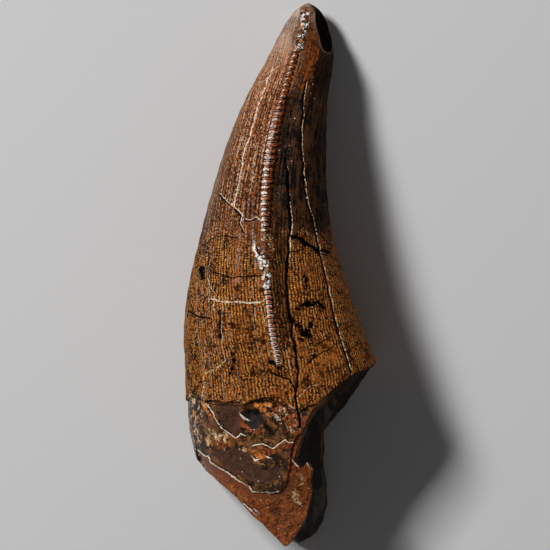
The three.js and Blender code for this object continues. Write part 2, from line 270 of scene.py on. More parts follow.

# %% [markdown]
# The long cracks came as the bone-hard tooth dried and was pressed in the ground. Some stand open
# and look black, others are filled with a pale mineral, and bare edges show as pale lines. The
# same pale kind also carries painted highlights on the rims of ledges, and painted glints. They
# could be cut with thin boolean cutters, but that leaves walls too steep for such shallow marks. So
# each is a line with its kind, half width and depth, which the carving presses in, and the same
# list later tells the paint where they run.

# %% Cracks
DARK, PALE, BARE_AND_GLINT = KINDS = "dark", "pale", "bare"
cracks = [  # kind, half width, depth, line
    (DARK, 0.13, 0.35, [
        (0.7, 20.5), (1.0, 22.6), (1.1, 26.1), (1.4, 29.0), (1.1, 30.9), (1.0, 32.5), (0.8, 36.1),
        (1.0, 39.8), (1.5, 42.1), (1.5, 43.4), (1.9, 44.6), (2.1, 46.3), (2.3, 48.1), (2.1, 49.8),
        (1.9, 51.1), (2.1, 52.4), (2.4, 53.7), (2.5, 55.2),
    ]),
    (DARK, 0.08, 0.25, [
        (3.4, 10.1), (3.0, 12.1), (2.9, 14.7), (2.7, 17.3), (2.75, 19.2), (2.95, 21.8), (3.1, 24.4),
        (3.5, 26.0), (4.25, 29.0), (5.0, 32.2), (5.8, 35.5), (6.5, 39.1), (7.5, 42.9), (8.5, 46.1),
        (9.1, 48.2),
    ]),
    (PALE, 0.035, 0.05, [(3.55, 10.1), (3.15, 12.1), (3.05, 14.7), (2.85, 17.3), (2.9, 19.2), (3.1, 21.8)]),
    (PALE, 0.06, 0.05, [(3.1, 21.8), (3.3, 24.4), (3.7, 26.0), (4.4, 29.0), (5.15, 32.2)]),
    (PALE, 0.09, 0.05, [
        (5.15, 32.2), (5.95, 35.5), (6.7, 39.1), (7.65, 42.9), (8.65, 46.1), (9.25, 48.2),
    ]),
    (BARE_AND_GLINT, 0.08, 0.05, [
        (-1.0, 8.6), (-1.6, 10.1), (-2.1, 11.4), (-2.9, 13.4), (-3.6, 16.0), (-4.0, 17.5),
        (-4.5, 18.8), (-4.9, 20.1), (-5.0, 21.2), (-5.3, 23.1), (-5.9, 25.7), (-6.0, 26.8),
    ]),
    (PALE, 0.07, 0.04, [(-0.5, 10.1), (-1.0, 11.4), (-1.5, 12.7), (-2.1, 15.1), (-2.5, 16.4)]),
    (PALE, 0.06, 0.04, [(-1.0, 8.6), (-1.6, 9.9), (-2.9, 10.6)]),
    (PALE, 0.09, 0.05, [(0.95, 21.5), (1.2, 26.1), (1.55, 29.0), (1.25, 31.5), (1.1, 33.5)]),
    (BARE_AND_GLINT, 0.08, 0.05, [
        (-9.0, 38.6), (-7.2, 38.9), (-4.6, 39.0), (-3.6, 39.1), (-2.4, 38.9), (-1.6, 38.6),
    ]),
    (PALE, 0.06, 0.04, [(-9.3, 36.1), (-9.0, 37.2), (-8.6, 37.8), (-8.6, 38.7), (-8.6, 40.3)]),
    (PALE, 0.05, 0.04, [(-6.0, 38.9), (-6.0, 38.0)]),
    (PALE, 0.05, 0.04, [(-3.7, 37.4), (-3.4, 39.4), (-3.2, 41.3)]),
    (PALE, 0.05, 0.04, [(-2.7, 38.7), (-2.0, 42.0)]),
    (DARK, 0.1, 0.1, [(-7.9, 25.1), (-6.7, 26.4), (-5.9, 27.0), (-5.1, 27.8)]),
    (BARE_AND_GLINT, 0.06, 0.0, [(-7.7, 25.1), (-6.5, 26.4), (-5.7, 26.9), (-4.9, 27.7)]),
    (DARK, 0.08, 0.1, [(-5.1, 27.8), (-5.3, 28.8), (-4.8, 30.0)]),
    (BARE_AND_GLINT, 0.04, 0.0, [(-4.95, 27.8), (-5.15, 28.8), (-4.65, 29.9)]),
    (BARE_AND_GLINT, 0.05, 0.06, [(-4.5, 28.2), (-3.7, 28.3), (-3.1, 27.9), (-2.5, 28.5), (-2.1, 28.7)]),
    (DARK, 0.06, 0.08, [(-4.5, 28.4), (-3.7, 28.5), (-3.0, 28.1)]),
    (DARK, 0.06, 0.08, [(-9.8, 31.6), (-9.2, 30.9), (-8.4, 30.5), (-7.1, 30.4), (-5.5, 30.7)]),
    (DARK, 0.07, 0.06, [(-8.6, 35.1), (-7.3, 35.5), (-6.3, 35.9), (-4.5, 35.7), (-2.4, 35.5)]),
    (DARK, 0.12, 0.15, [(1.6, 30.5), (2.5, 30.7), (3.2, 31.2), (3.8, 31.8), (4.9, 32.4)]),
    (DARK, 0.08, 0.08, [(1.2, 32.5), (2.1, 32.5), (2.9, 32.1)]),
    (DARK, 0.09, 0.1, [(-12.0, 40.2), (-11.0, 40.7), (-9.2, 41.1)]),
    (DARK, 0.16, 0.12, [(-10.2, 34.6), (-10.1, 35.6)]),
    (DARK, 0.07, 0.05, [(3.7, 46.8), (4.5, 46.0), (6.4, 45.1)]),
    (DARK, 0.06, 0.05, [(4.9, 44.4), (6.4, 43.5)]),
    (PALE, 0.07, 0.05, [(0.7, 44.6), (1.0, 46.5), (1.4, 48.9)]),
    (PALE, 0.06, 0.04, [
        (-7.6, 39.6), (-7.6, 42.6), (-7.5, 45.2), (-7.1, 46.5), (-8.1, 47.4), (-9.9, 48.3),
        (-10.2, 51.7),
    ]),
    (PALE, 0.05, 0.03, [(-9.8, 44.6), (-9.9, 48.1)]),
    (DARK, 0.1, 0.1, [(-1.4, 48.0), (-0.1, 48.6), (1.2, 49.1), (2.0, 50.6)]),
    (PALE, 0.07, 0.05, [(2.5, 51.2), (3.1, 50.4), (3.8, 49.8), (5.0, 49.5)]),
    # From here on, the short pale marks are painted glints and painted highlights on edges.
    (BARE_AND_GLINT, 0.07, 0.0, [(-3.7, 59.0), (-3.3, 59.5), (-2.9, 59.4)]),
    (BARE_AND_GLINT, 0.08, 0.0, [(1.35, 59.2), (2.2, 60.3), (3.2, 59.6), (3.7, 60.3)]),
    (BARE_AND_GLINT, 0.12, 0.0, [(-5.2, 53.5), (-4.8, 53.9), (-4.2, 54.2)]),
    (BARE_AND_GLINT, 0.1, 0.0, [(1.3, 52.5), (1.8, 52.8)]),
    (BARE_AND_GLINT, 0.08, 0.0, [(-0.6, 53.6), (-0.3, 53.9)]),
    (BARE_AND_GLINT, 0.08, 0.0, [(-1.7, 59.0), (-1.4, 59.2)]),
    (BARE_AND_GLINT, 0.08, 0.0, [(-3.2, 66.0), (-2.9, 66.3)]),
    (BARE_AND_GLINT, 0.06, 0.0, [(-4.75, 65.1), (-4.0, 65.85), (-3.4, 66.5)]),
]
back_cracks = [
    (DARK, 0.1, 0.25, [(-3.4, 14.0), (-4.2, 19.0), (-4.6, 25.0), (-5.6, 33.0), (-5.4, 41.0), (-6.2, 50.0)]),
    (PALE, 0.09, 0.06, [(3.0, 12.0), (2.6, 18.0), (3.2, 26.0), (4.6, 35.0), (6.2, 44.0), (7.4, 49.0)]),
    (PALE, 0.07, 0.05, [(-6.5, 37.0), (-3.0, 38.2), (0.5, 37.8), (3.4, 38.6)]),
    (DARK, 0.09, 0.1, [(1.0, 44.0), (3.0, 46.5), (3.6, 50.0), (2.6, 55.0), (3.2, 61.0)]),
]


def nearest_crack(rows, front, kind):
    """How far the nearest crack of a kind is, in its half widths, how near it is, and its depth."""
    flat = wobbled(rows)
    across = np.full(len(rows), 99.0)
    gap = np.full(len(rows), 99.0)
    depth = np.zeros(len(rows))
    for side, listed in ((front, cracks), (~front, back_cracks)):
        for found, half, deep, line in listed:
            if found == kind:
                signed = to_line(flat, line)
                closer = side & (np.abs(signed) < gap)
                across = np.where(closer, signed / half, across)
                gap = np.where(closer, np.abs(signed), gap)
                depth = np.where(closer, deep, depth)
    return across, gap, depth


print(len(cracks), "cracks on the front and", len(back_cracks), "on the back")

# %% [markdown]
# Where the enamel ends, the root begins a little lower, and it has lost layers: first a shallow bay
# under the enamel with a deeper pocket in it, then everything below a long sharp ledge, where the
# bare inner dentine slopes away to the break. The ledges are outlines too, and their bare edges
# are pale, partly as painted highlights on their rims.

# %% The root's layers
ENAMEL_END = [
    (-14.0, 51.6), (-12.3, 51.8), (-11.2, 51.0), (-9.9, 51.9), (-8.7, 51.7), (-7.2, 52.0), (-5.9, 51.8),
    (-4.6, 52.2), (-3.7, 51.9), (-3.0, 51.6), (-1.6, 51.3), (-0.4, 51.9), (0.8, 52.4), (1.8, 52.9),
    (2.8, 52.8), (3.8, 52.4), (9.0, 51.5),
]
BAY = [
    (-9.6, 52.3), (-8.9, 53.3), (-8.4, 54.3), (-7.6, 55.5), (-6.3, 56.4), (-5.8, 56.7), (-5.3, 56.1),
    (-4.7, 56.4), (-4.2, 57.3), (-3.6, 57.7), (-2.4, 57.4), (-1.1, 58.0), (-0.1, 57.4), (0.5, 56.9),
    (1.0, 57.2), (1.5, 57.3), (2.1, 55.6), (1.0, 54.6), (0.1, 53.5), (-0.7, 52.7), (-1.6, 51.7),
    (-3.0, 52.0), (-4.6, 52.5), (-7.2, 52.4),
]
POCKET = [
    (-5.3, 53.3), (-4.0, 52.9), (-2.7, 53.3), (-2.4, 54.3), (-2.9, 55.4), (-4.0, 55.6), (-4.9, 55.0),
]
LOBE = [
    (-13.0, 57.6), (-11.1, 58.0), (-9.8, 59.1), (-9.4, 59.0), (-9.2, 59.8), (-7.2, 61.0), (-5.3, 62.3),
    (-4.1, 63.0), (-3.7, 63.7), (-2.4, 63.7), (-1.4, 63.8), (-0.3, 63.6), (0.6, 62.8), (1.0, 61.7),
    (1.25, 59.5), (1.4, 57.8), (2.2, 56.2), (3.2, 56.0), (8.0, 58.0), (8.0, 76.0), (-14.0, 76.0),
]
CUP = [(-3.9, 58.6), (-3.2, 58.3), (-2.6, 58.6), (-2.7, 59.3), (-3.3, 59.6), (-3.8, 59.3)]
CRUMBLE = [ # where the long crack meets the root and both have crumbled
    (-1.8, 51.5), (0.4, 49.8), (2.0, 50.0), (3.6, 51.2), (3.4, 52.8), (2.3, 54.8), (1.6, 56.2), (0.5, 56.0),
    (-0.8, 54.9), (-1.6, 53.2),
]
# The pale lines along the ledges are their bare edges and partly painted highlights on the rims.
for half, ledge in ((0.075, LOBE[1:12]), (0.055, BAY[:8]), (0.055, BAY[9:16])):
    cracks.append((BARE_AND_GLINT, half, 0.0, [(x + 0.06, down - 0.07) for x, down in ledge]))
ENAMEL_STEP = 0.28
BAY_DEPTH = 0.22
POCKET_DEPTH = 0.45
LOBE_STEP = 0.35
LOBE_SLOPE = 0.22 # further depth per millimetre from the ledge
LEDGE_SOFT = 0.07 # half the width over which a ledge drops
print("the long ledge runs", round(float(np.sum(line_runs(LOBE[1:12]))), 1), "mm")


def layers(rows):
    """Signed distances to the root's outlines on the front."""
    flat = wobbled(rows)
    enamel = to_line(flat, ENAMEL_END)
    return {
        "root": -enamel,
        "bay": to_outline(flat, BAY),
        "pocket": to_outline(flat, POCKET),
        "lobe": to_outline(flat, LOBE),
        "cup": to_outline(flat, CUP),
        "crumble": to_outline(flat, CRUMBLE),
    }

# %% [markdown]
# ## The body
#
# The body could start as a cylinder, but a ring of vertices extruded station by station gives
# evenly spaced loops that follow the tooth. The cage stays coarse while it is extruded, is rounded
# by one Subdivision Surface, and only then is every vertex set on the tooth's oval section.
# The wear facet beside the tip and the flat on which the root lies are cut into that section.

# %% The cage, ring by ring
CAGE_SIDES = 24
stations = np.concatenate([[0.25, 0.8, 1.8, 3.2, 5.0], np.arange(7.5, ROOT_LENGTH + 1, 3.5)])

bpy.ops.object.select_all(action="DESELECT")
first = stations[0]
start = (np.array([centre_x(first), TIP_Y - first, centre_z(first)]) + SHIFT) / 1000
bpy.ops.mesh.primitive_circle_add(
    vertices=CAGE_SIDES, radius=0.001 * float(half_width(first)), location=start,
    rotation=(math.pi / 2, 0, 0),
)
tooth = bpy.context.object
tooth.name = "fossil_tooth"
bpy.ops.object.transform_apply(location=True, rotation=True, scale=True)
bpy.ops.object.mode_set(mode="EDIT")
bpy.ops.mesh.select_all(action="SELECT")
for here, there in zip(stations, stations[1:]):
    step = (centre_x(there) - centre_x(here), here - there, centre_z(there) - centre_z(here))
    bpy.ops.mesh.extrude_region_move(TRANSFORM_OT_translate={"value": [0.001 * float(s) for s in step]})
    middle = (np.array([centre_x(there), TIP_Y - there, centre_z(there)]) + SHIFT) / 1000
    wider = float(half_width(there) / half_width(here))
    deeper = float(half_depth(there) / half_depth(here))
    bpy.ops.transform.resize(value=(wider, 1, deeper), center_override=tuple(middle))
bpy.ops.mesh.edge_face_add()
bpy.ops.object.mode_set(mode="OBJECT")
print("the cage has", len(tooth.data.polygons), "faces")

# %% Closed at the tip and rounded
only(tooth)
rows = places(tooth)
at_tip = rows[:, 1] > TIP_Y - first - 0.01
bpy.ops.object.mode_set(mode="EDIT")
bpy.ops.mesh.select_all(action="DESELECT")
bpy.ops.object.mode_set(mode="OBJECT")
tooth.data.vertices.foreach_set("select", at_tip)
bpy.ops.object.mode_set(mode="EDIT")
bpy.ops.mesh.edge_face_add()
bpy.ops.mesh.poke()
face_outwards(tooth)
apply_modifier(tooth, "SUBSURF", levels=3, render_levels=3)
print("rounded, it has", len(tooth.data.polygons), "faces")

# %% The oval section
WEAR_FACING = math.radians(35) # above +X
wear_share = along([(0, 0.82), (2.7, 0.83), (4.3, 0.88), (6.1, 0.945), (7, 1.02), (74, 1.2)])


def worn_off(x, z, down):
    """How far a place beside the tooth's middle stands out past the wear facet."""
    return x * math.cos(WEAR_FACING) + z * math.sin(WEAR_FACING) - half_width(down) * wear_share(down)


def on_skin(rows):
    """The rows moved to the oval section, how far each faces the front, and how much wear took."""
    down = np.clip(TIP_Y - rows[:, 1], 0.0, ROOT_LENGTH)
    width, depth = half_width(down) + 1e-6, half_depth(down) + 1e-6
    u = (rows[:, 0] - centre_x(down)) / width
    v = (rows[:, 2] - centre_z(down)) / depth
    length = np.hypot(u, v) + 1e-9
    u, v = u / length, v / length
    power = np.where(v >= 0, front_squareness(down), back_squareness(down))
    size = (np.abs(u) ** power + np.abs(v) ** power) ** (-1 / power)
    x, z = u * size * width, v * size * depth
    worn = worn_off(x, z, down)
    proud = np.maximum(worn, 0)
    x, z = x - proud * math.cos(WEAR_FACING), z - proud * math.sin(WEAR_FACING)
    height = np.maximum(centre_z(down) + z, 0)
    return np.column_stack([centre_x(down) + x, TIP_Y - down, height]), v, worn


def fit():
    rows = places(tooth)
    gap = TIP_Y - rows[:, 1].max()
    rows[:, 1] += gap * (1 - ease(0, 4, TIP_Y - rows[:, 1]))
    fitted, _, _ = on_skin(rows)
    put(tooth, fitted)


fit()
print("set on its section, it is", round(float(np.ptp(places(tooth)[:, 1])), 2), "mm long")

# %% [markdown]
# Fine relief needs fine faces only where it is. So the faces near the front edge, the cracks and
# the ledges are selected by their distance to those lines and subdivided, those next to a line
# once more, and the new vertices are set on the section again.

# %% Finer faces where the relief is
def refine(thing, chosen):
    only(thing)
    thing.data.polygons.foreach_set("select", np.zeros(len(thing.data.polygons), bool))
    thing.data.vertices.foreach_set("select", np.zeros(len(thing.data.vertices), bool))
    bpy.ops.object.mode_set(mode="EDIT")
    bpy.ops.mesh.select_mode(type="FACE")
    bpy.ops.mesh.select_all(action="DESELECT")
    bpy.ops.object.mode_set(mode="OBJECT")
    thing.data.polygons.foreach_set("select", chosen)
    bpy.ops.object.mode_set(mode="EDIT")
    bpy.ops.mesh.subdivide(number_cuts=1)
    bpy.ops.object.mode_set(mode="OBJECT")


def face_middles(thing):
    rows = np.empty(3 * len(thing.data.polygons))
    thing.data.polygons.foreach_get("center", rows)
    return rows.reshape(-1, 3) * 1000 - SHIFT


def near_relief(rows, reach):
    """Which places lie within reach of a crack or a ledge."""
    front = rows[:, 2] > centre_z(TIP_Y - rows[:, 1])
    found = np.zeros(len(rows), bool)
    for kind in KINDS:
        _, gap, depth = nearest_crack(rows, front, kind)
        found |= (gap < reach) & (depth > 0)
    outlines = layers(rows)
    for distance in outlines.values():
        found |= front & (np.abs(distance) < reach)
    return found | front & (outlines["crumble"] > 0)


middles = face_middles(tooth)
down = TIP_Y - middles[:, 1]
on_front = middles[:, 2] > centre_z(down)
by_edge = on_front & (np.abs(middles[:, 0] - front_edge(down)) < 1.75) & (down < 49)
root_front = on_front & (down > 51) & (down < 70)
refine(tooth, near_relief(middles, 0.32) | by_edge | root_front)
fit()
refine(tooth, near_relief(face_middles(tooth), 0.14))
fit()
print("with its fine stretches, it has", len(tooth.data.polygons), "faces")

# %% [markdown]
# Now the carving. Each rule says how far the skin rises or sinks, in millimetres, and the sum moves
# the vertices along their normals: the two keels, the shallow flute beside the front one, slow
# growth swellings, the open cracks, the root's steps and pits, and the crushed stretch.

# %% Carving
KEEL_RISE = 0.35
KEEL_HALF = 0.85
FLUTES = ((2.0, 0.9, 0.28), (-1.9, 0.8, 0.12)) # beside the front keel: middle, half width, depth
CRUSHED = ((0, 6.1), (29.9, 36.4)) # stretches of the front edge


def crushed(down):
    """1 on the crushed stretches of the front edge, fading at their ends."""
    return sum(ease(a - 0.5, a + 0.8, down) * (1 - ease(b - 1, b, down)) for a, b in CRUSHED)


def keel(rows, edge, last):
    down = TIP_Y - rows[:, 1]
    beside = (rows[:, 0] - edge(down)) / KEEL_HALF
    run = ease(0, 4, down) * (1 - ease(last - 2, last + 2, down))
    return KEEL_RISE * run * np.exp(-np.abs(beside) ** 2.4)


def carve():
    rows = places(tooth)
    down = TIP_Y - rows[:, 1]
    _, facing, _ = on_skin(rows)
    front = facing > 0
    beside = rows[:, 0] - front_edge(down)
    stretched = rows * (1, 0.25, 1)
    rise = np.where(front, keel(rows, front_edge, FRONT_LAST), keel(rows, back_edge, BACK_LAST))
    run = ease(9, 14, down) * (1 - ease(38, 46, down))
    for middle, half, deep in FLUTES:
        flute = np.exp(-((beside - middle) / half) ** 2) * run
        rise -= np.where(front, deep * flute, 0)
    rise += 0.07 * bumps(stretched, 3.2, 1) + 0.03 * bumps(stretched, 1.1, 2)
    rise += 0.025 * np.sin(2 * math.pi * (down + 0.8 * bumps(rows, 6, 3)) / 2.3)
    for kind in KINDS:
        across, _, depth = nearest_crack(rows, front, kind)
        rise -= depth * np.exp(-np.abs(across / 1.1) ** 2)
    found = layers(rows)
    on_root = np.where(front, found["root"], down - BACK_ROOT)
    rise -= ENAMEL_STEP * ease(-LEDGE_SOFT, LEDGE_SOFT, on_root)
    soft = {name: ease(-LEDGE_SOFT, LEDGE_SOFT, value) * front for name, value in found.items()}
    rise -= BAY_DEPTH * soft["bay"]
    rise -= POCKET_DEPTH * ease(-0.1, 0.7, found["pocket"]) * front
    rise -= 0.25 * ease(-0.05, 0.4, found["cup"]) * front
    rise -= soft["lobe"] * (LOBE_STEP + LOBE_SLOPE * np.clip(found["lobe"], 0, 4))
    rise += 0.05 * ease(0, 1, on_root) * bumps(rows, 0.8, 4)
    shattered = crushed(down) * np.exp(-(beside / 1.0) ** 2)
    rise += np.where(front, shattered * (0.16 * bumps(rows, 0.55, 7) + 0.1 * bumps(rows, 0.3, 8)), 0)
    crumbs = 0.17 * bumps(rows, 0.7, 9) + 0.09 * bumps(rows, 0.35, 10)
    rise += front * ease(-0.3, 0.5, found["crumble"]) * crumbs
    hold = ease(0.0, 0.4, rows[:, 2]) * ease(0.1, 1.0, down)
    put(tooth, rows + (rise * hold)[:, None] * outward(tooth))


carve()
print("carved", len(tooth.data.vertices), "vertices")

# %% [markdown]
# ## The denticles
#
# A denticle is a small chisel set across the edge. One is modelled from a cube: it is subdivided,
# its top is narrowed in both directions and its crest is rounded. Then it is copied down each edge
# at the pitch of the real teeth, each copy a little different and worn, the copies on the crushed
# stretch low and uneven. A boolean union grows each row onto the body.

# %% One denticle
DENTICLE_HEIGHT = 0.95
DENTICLE_FILL = 0.84 # share of the pitch that a denticle fills
pitch = along([
    (0, 0.68), (5, 0.74), (12, 0.76), (18, 0.82), (22, 0.78), (26, 0.7), (36, 0.66), (42, 0.58),
    (50, 0.54),
])
chisel_width = along([
    (0, 0.8), (6, 0.95), (12, 1.2), (18, 1.55), (23, 1.5), (28, 1.2), (36, 0.95), (44, 0.85), (50, 0.7),
])


def model_chisel(cuts):
    bpy.ops.object.select_all(action="DESELECT")
    bpy.ops.mesh.primitive_cube_add(size=1, location=(0, 0, 0))
    chisel = bpy.context.object
    bpy.ops.object.mode_set(mode="EDIT")
    bpy.ops.mesh.subdivide(number_cuts=cuts)
    bpy.ops.object.mode_set(mode="OBJECT")
    rows = np.array([vertex.co for vertex in chisel.data.vertices])
    x, y, z = rows.T
    up = np.clip(z + 0.1, 0, 0.6) / 0.6
    rows[:, 0] = x * (1 - 0.42 * up**1.6)
    rows[:, 1] = y * (1 - 0.3 * up**3) * (1 - 0.22 * (2 * x) ** 2)
    rows[:, 2] = z - 0.2 * up * (2 * x) ** 2 - 0.1 * up * (2 * y) ** 2
    chisel.data.vertices.foreach_set("co", rows.ravel())
    return chisel

# %% The rows of denticles
def skin_height(side, x, down):
    power = float(front_squareness(down) if side > 0 else back_squareness(down))
    share = abs((x - float(centre_x(down))) / float(half_width(down)))
    return float(centre_z(down)) + side * float(half_depth(down)) * (1 - share**power) ** (1 / power)


def edge_point(side, edge, last, down):
    x = float(edge(down))
    rise = KEEL_RISE * float(ease(0, 4, down) * (1 - ease(last - 2, last + 2, down)))
    return np.array([x, TIP_Y - down, skin_height(side, x, down) + side * rise])


def denticle_row(name, side, edge, begin, last, cuts, seed):
    """Copies of one chisel down an edge, joined in one mesh, and the distances where they stand."""
    random = np.random.default_rng(seed)
    chisel = model_chisel(cuts)
    shape = np.array([vertex.co for vertex in chisel.data.vertices])
    copies, stand_at = [], []
    down = begin
    while down < last:
        step = float(pitch(down))
        here = edge_point(side, edge, last, down)
        above, below = down - step / 2, down + step / 2
        forward = edge_point(side, edge, last, above) - edge_point(side, edge, last, below)
        length = np.linalg.norm(forward)
        forward /= length
        across = np.cross(forward, (0, 0, side))
        across /= np.linalg.norm(across)
        up = np.cross(across, forward)
        hurt = side * float(crushed(down)) > 0.3
        worn = random.uniform(0.3, 0.7) if hurt else random.uniform(0.86, 1.0)
        height = DENTICLE_HEIGHT * worn * (1 - 0.45 * float(ease(last - 8, last, down)))
        size = (
            float(chisel_width(down)) * random.uniform(0.92, 1.06),
            length * DENTICLE_FILL * random.uniform(0.94, 1.03),
            height,
        )
        turn = random.normal(0, 0.4 if hurt else 0.04)
        turned_across = across * math.cos(turn) + forward * math.sin(turn)
        turned_forward = forward * math.cos(turn) - across * math.sin(turn)
        uneven = 1 + (0.2 if hurt else 0.045) * random.standard_normal(shape.shape)
        local = shape * size * uneven
        made = local @ np.array([turned_across, turned_forward, up]) + here
        copy = chisel.copy()
        copy.data = chisel.data.copy()
        bpy.context.scene.collection.objects.link(copy)
        put(copy, made)
        copies.append(copy)
        stand_at.append(down)
        down += step
    bpy.data.objects.remove(chisel)
    bpy.ops.object.select_all(action="DESELECT")
    for copy in copies:
        copy.select_set(True)
    bpy.context.view_layer.objects.active = copies[0]
    bpy.ops.object.join()
    copies[0].name = name
    return copies[0], np.array(stand_at)


front_row, front_stand = denticle_row("front_denticles", 1, front_edge, 2.6, FRONT_LAST, 3, 11)
back_row, back_stand = denticle_row("back_denticles", -1, back_edge, 2.2, BACK_LAST, 2, 12)
print(len(front_stand), "denticles on the front edge and", len(back_stand), "on the back edge")

# %% [markdown]
# ## Broken open
#
# The root is hollow, and it has broken so that the hollow shows. Both are cut with boolean
# differences, because a cut leaves the knife-sharp rim of a real break. The pulp cavity is a sphere
# drawn out along the tooth, which closes it with a smooth top. The break is an outline extruded
# upwards that changes from the back wall's broken edge to the front wall's, roughened like split
# dentine. Each cutter's material slot marks the faces that it leaves on the tooth.

# %% Boolean helper and slots
SKIN, BREAK, PULP = 0, 1, 2
finishes = [bpy.data.materials.new(name) for name in ("enamel_and_root", "split_dentine", "pulp_wall")]


def mark(thing, slot):
    for finish in finishes:
        thing.data.materials.append(finish)
    thing.data.polygons.foreach_set("material_index", np.full(len(thing.data.polygons), slot, np.int32))


def combine(operation, other):
    apply_modifier(tooth, "BOOLEAN", operation=operation, object=other, solver="MANIFOLD")
    bpy.data.objects.remove(other)
    print(operation.lower(), "leaves", len(tooth.data.polygons), "faces")


mark(tooth, SKIN)
for row in (front_row, back_row):
    mark(row, SKIN)
    combine("UNION", row)

# %% The pulp cavity
PULP_TOP = 36
pulp_half_width = from_round_end([(0, 0), (2, 2.4), (8, 4.9), (16, 7.2), (24, 8.7), (38, 9.2)])
pulp_half_depth = from_round_end([(0, 0), (2, 2.0), (8, 4.2), (16, 6.3), (24, 7.5), (38, 8.2)])

bpy.ops.object.select_all(action="DESELECT")
bpy.ops.mesh.primitive_uv_sphere_add(segments=88, ring_count=72, radius=0.001)
pulp = bpy.context.object
bpy.ops.object.transform_apply(location=True, rotation=True, scale=True)
rows = np.array([vertex.co for vertex in pulp.data.vertices]) * 1000
share = np.arccos(np.clip(rows[:, 2], -1, 1)) / math.pi
angle = np.arctan2(rows[:, 1], rows[:, 0])
into = (ROOT_LENGTH + 4 - PULP_TOP) * share**1.6
middle = PULP_TOP + into
open_end = np.where(share > 0.999, 0, 1)
shaped = np.column_stack([
    centre_x(middle) + open_end * pulp_half_width(into) * np.cos(angle),
    TIP_Y - middle,
    centre_z(middle) + open_end * pulp_half_depth(into) * np.sin(angle),
])
outer = shaped - np.column_stack([centre_x(middle), TIP_Y - middle, centre_z(middle)])
relief = 0.012 * bumps(shaped * (1, 0.3, 1), 2.4, 21) + 0.006 * bumps(shaped * (1, 0.4, 1), 0.8, 22)
put(pulp, shaped + outer * relief[:, None])
face_outwards(pulp)
mark(pulp, PULP)
combine("DIFFERENCE", pulp)

# %% The break
FRONT_BREAK = [
    (14.9, 45.15), (12.4, 46.75), (9.3, 48.25), (7.1, 49.75), (5.1, 51.45), (3.8, 52.95), (2.8, 55.15),
    (2.1, 57.55), (1.5, 59.25), (2.3, 60.35), (3.4, 59.45), (4.0, 60.45), (3.7, 62.75), (3.4, 64.75),
    (2.8, 67.05), (2.1, 68.35), (0.5, 70.7), (-2.4, 67.75), (-5.3, 64.75), (-8.4, 62.05),
    (-10.1, 60.55), (-11.3, 58.85),
]
BACK_BREAK = [
    (14.9, 45.15), (12.6, 46.95), (11.2, 48.65), (9.9, 50.45), (8.5, 52.55), (7.2, 54.35), (5.8, 55.85),
    (5.9, 57.65), (5.95, 59.25), (5.95, 60.35), (6.0, 61.15), (6.1, 62.25), (6.2, 63.75), (6.2, 65.45),
    (5.8, 67.35), (4.8, 69.05), (2.6, 70.35), (-1.4, 68.35), (-4.4, 65.35), (-7.6, 62.55),
    (-9.5, 60.95), (-10.8, 59.35),
]
BEYOND = [(-16, 55.35), (-16, 83.35), (30, 83.35), (30, 44.35)]
BREAK_LEVELS = [(-3, 0), (3, 0.08), (12, 0.5), (19, 0.9), (28, 1)]
BREAK_GRAIN = 0.3 # spacing of the break's vertices


def walked(line, count):
    """A line's points spread out to that many, evenly along the first of the two breaks."""
    line = np.array(line, float)
    run = np.concatenate([[0], np.cumsum(line_runs(FRONT_BREAK))])
    at = np.linspace(0, run[-1], count)
    return np.column_stack([np.interp(at, run, line[:, 0]), np.interp(at, run, line[:, 1])])


count = int(float(np.sum(line_runs(FRONT_BREAK))) / BREAK_GRAIN)
front_ring = np.vstack([walked(FRONT_BREAK, count), BEYOND])
back_ring = np.vstack([walked(BACK_BREAK, count), BEYOND])
heights = np.arange(BREAK_LEVELS[0][0], BREAK_LEVELS[-1][0] + 0.1, BREAK_GRAIN)
front_share = np.interp(heights, *np.array(BREAK_LEVELS).T)

bpy.ops.object.select_all(action="DESELECT")
bpy.ops.mesh.primitive_circle_add(vertices=len(front_ring), radius=0.02, fill_type="NGON")
cutter = bpy.context.object
bpy.ops.object.mode_set(mode="EDIT")
bpy.ops.mesh.select_all(action="SELECT")
for _ in heights[1:]:
    bpy.ops.mesh.extrude_region_move(TRANSFORM_OT_translate={"value": (0, 0, 0.001)})
bpy.ops.object.mode_set(mode="OBJECT")
rings = []
for height, share in zip(heights, front_share):
    ring = back_ring + share * (front_ring - back_ring)
    ahead, behind = np.roll(ring, -1, axis=0), np.roll(ring, 1, axis=0)
    along_ring = ahead - behind
    side = np.column_stack([along_ring[:, 1], -along_ring[:, 0]])
    side /= np.linalg.norm(side, axis=1)[:, None]
    solid = np.column_stack([ring[:, 0], TIP_Y - ring[:, 1], np.full(len(ring), height)])
    rough = 0.18 * bumps(solid * (1, 1, 0.4), 1.9, 31) + 0.08 * bumps(solid * (1, 1, 0.5), 0.6, 32)
    rough[-len(BEYOND) - 1:] = 0
    rough[0] = 0
    ring = ring + side * rough[:, None]
    rings.append(np.column_stack([ring[:, 0], TIP_Y - ring[:, 1], np.full(len(ring), height)]))
put(cutter, np.vstack(rings))
face_outwards(cutter)
mark(cutter, BREAK)
combine("DIFFERENCE", cutter)

# %% [markdown]
# Where surfaces all but touch, a cut can leave a crumb of a few faces that hangs on nothing. So
# everything linked to the tip is selected, and the rest deleted. And some bumps stand a few
# hundredths of a millimetre out past the tooth's measures, and are pressed back.

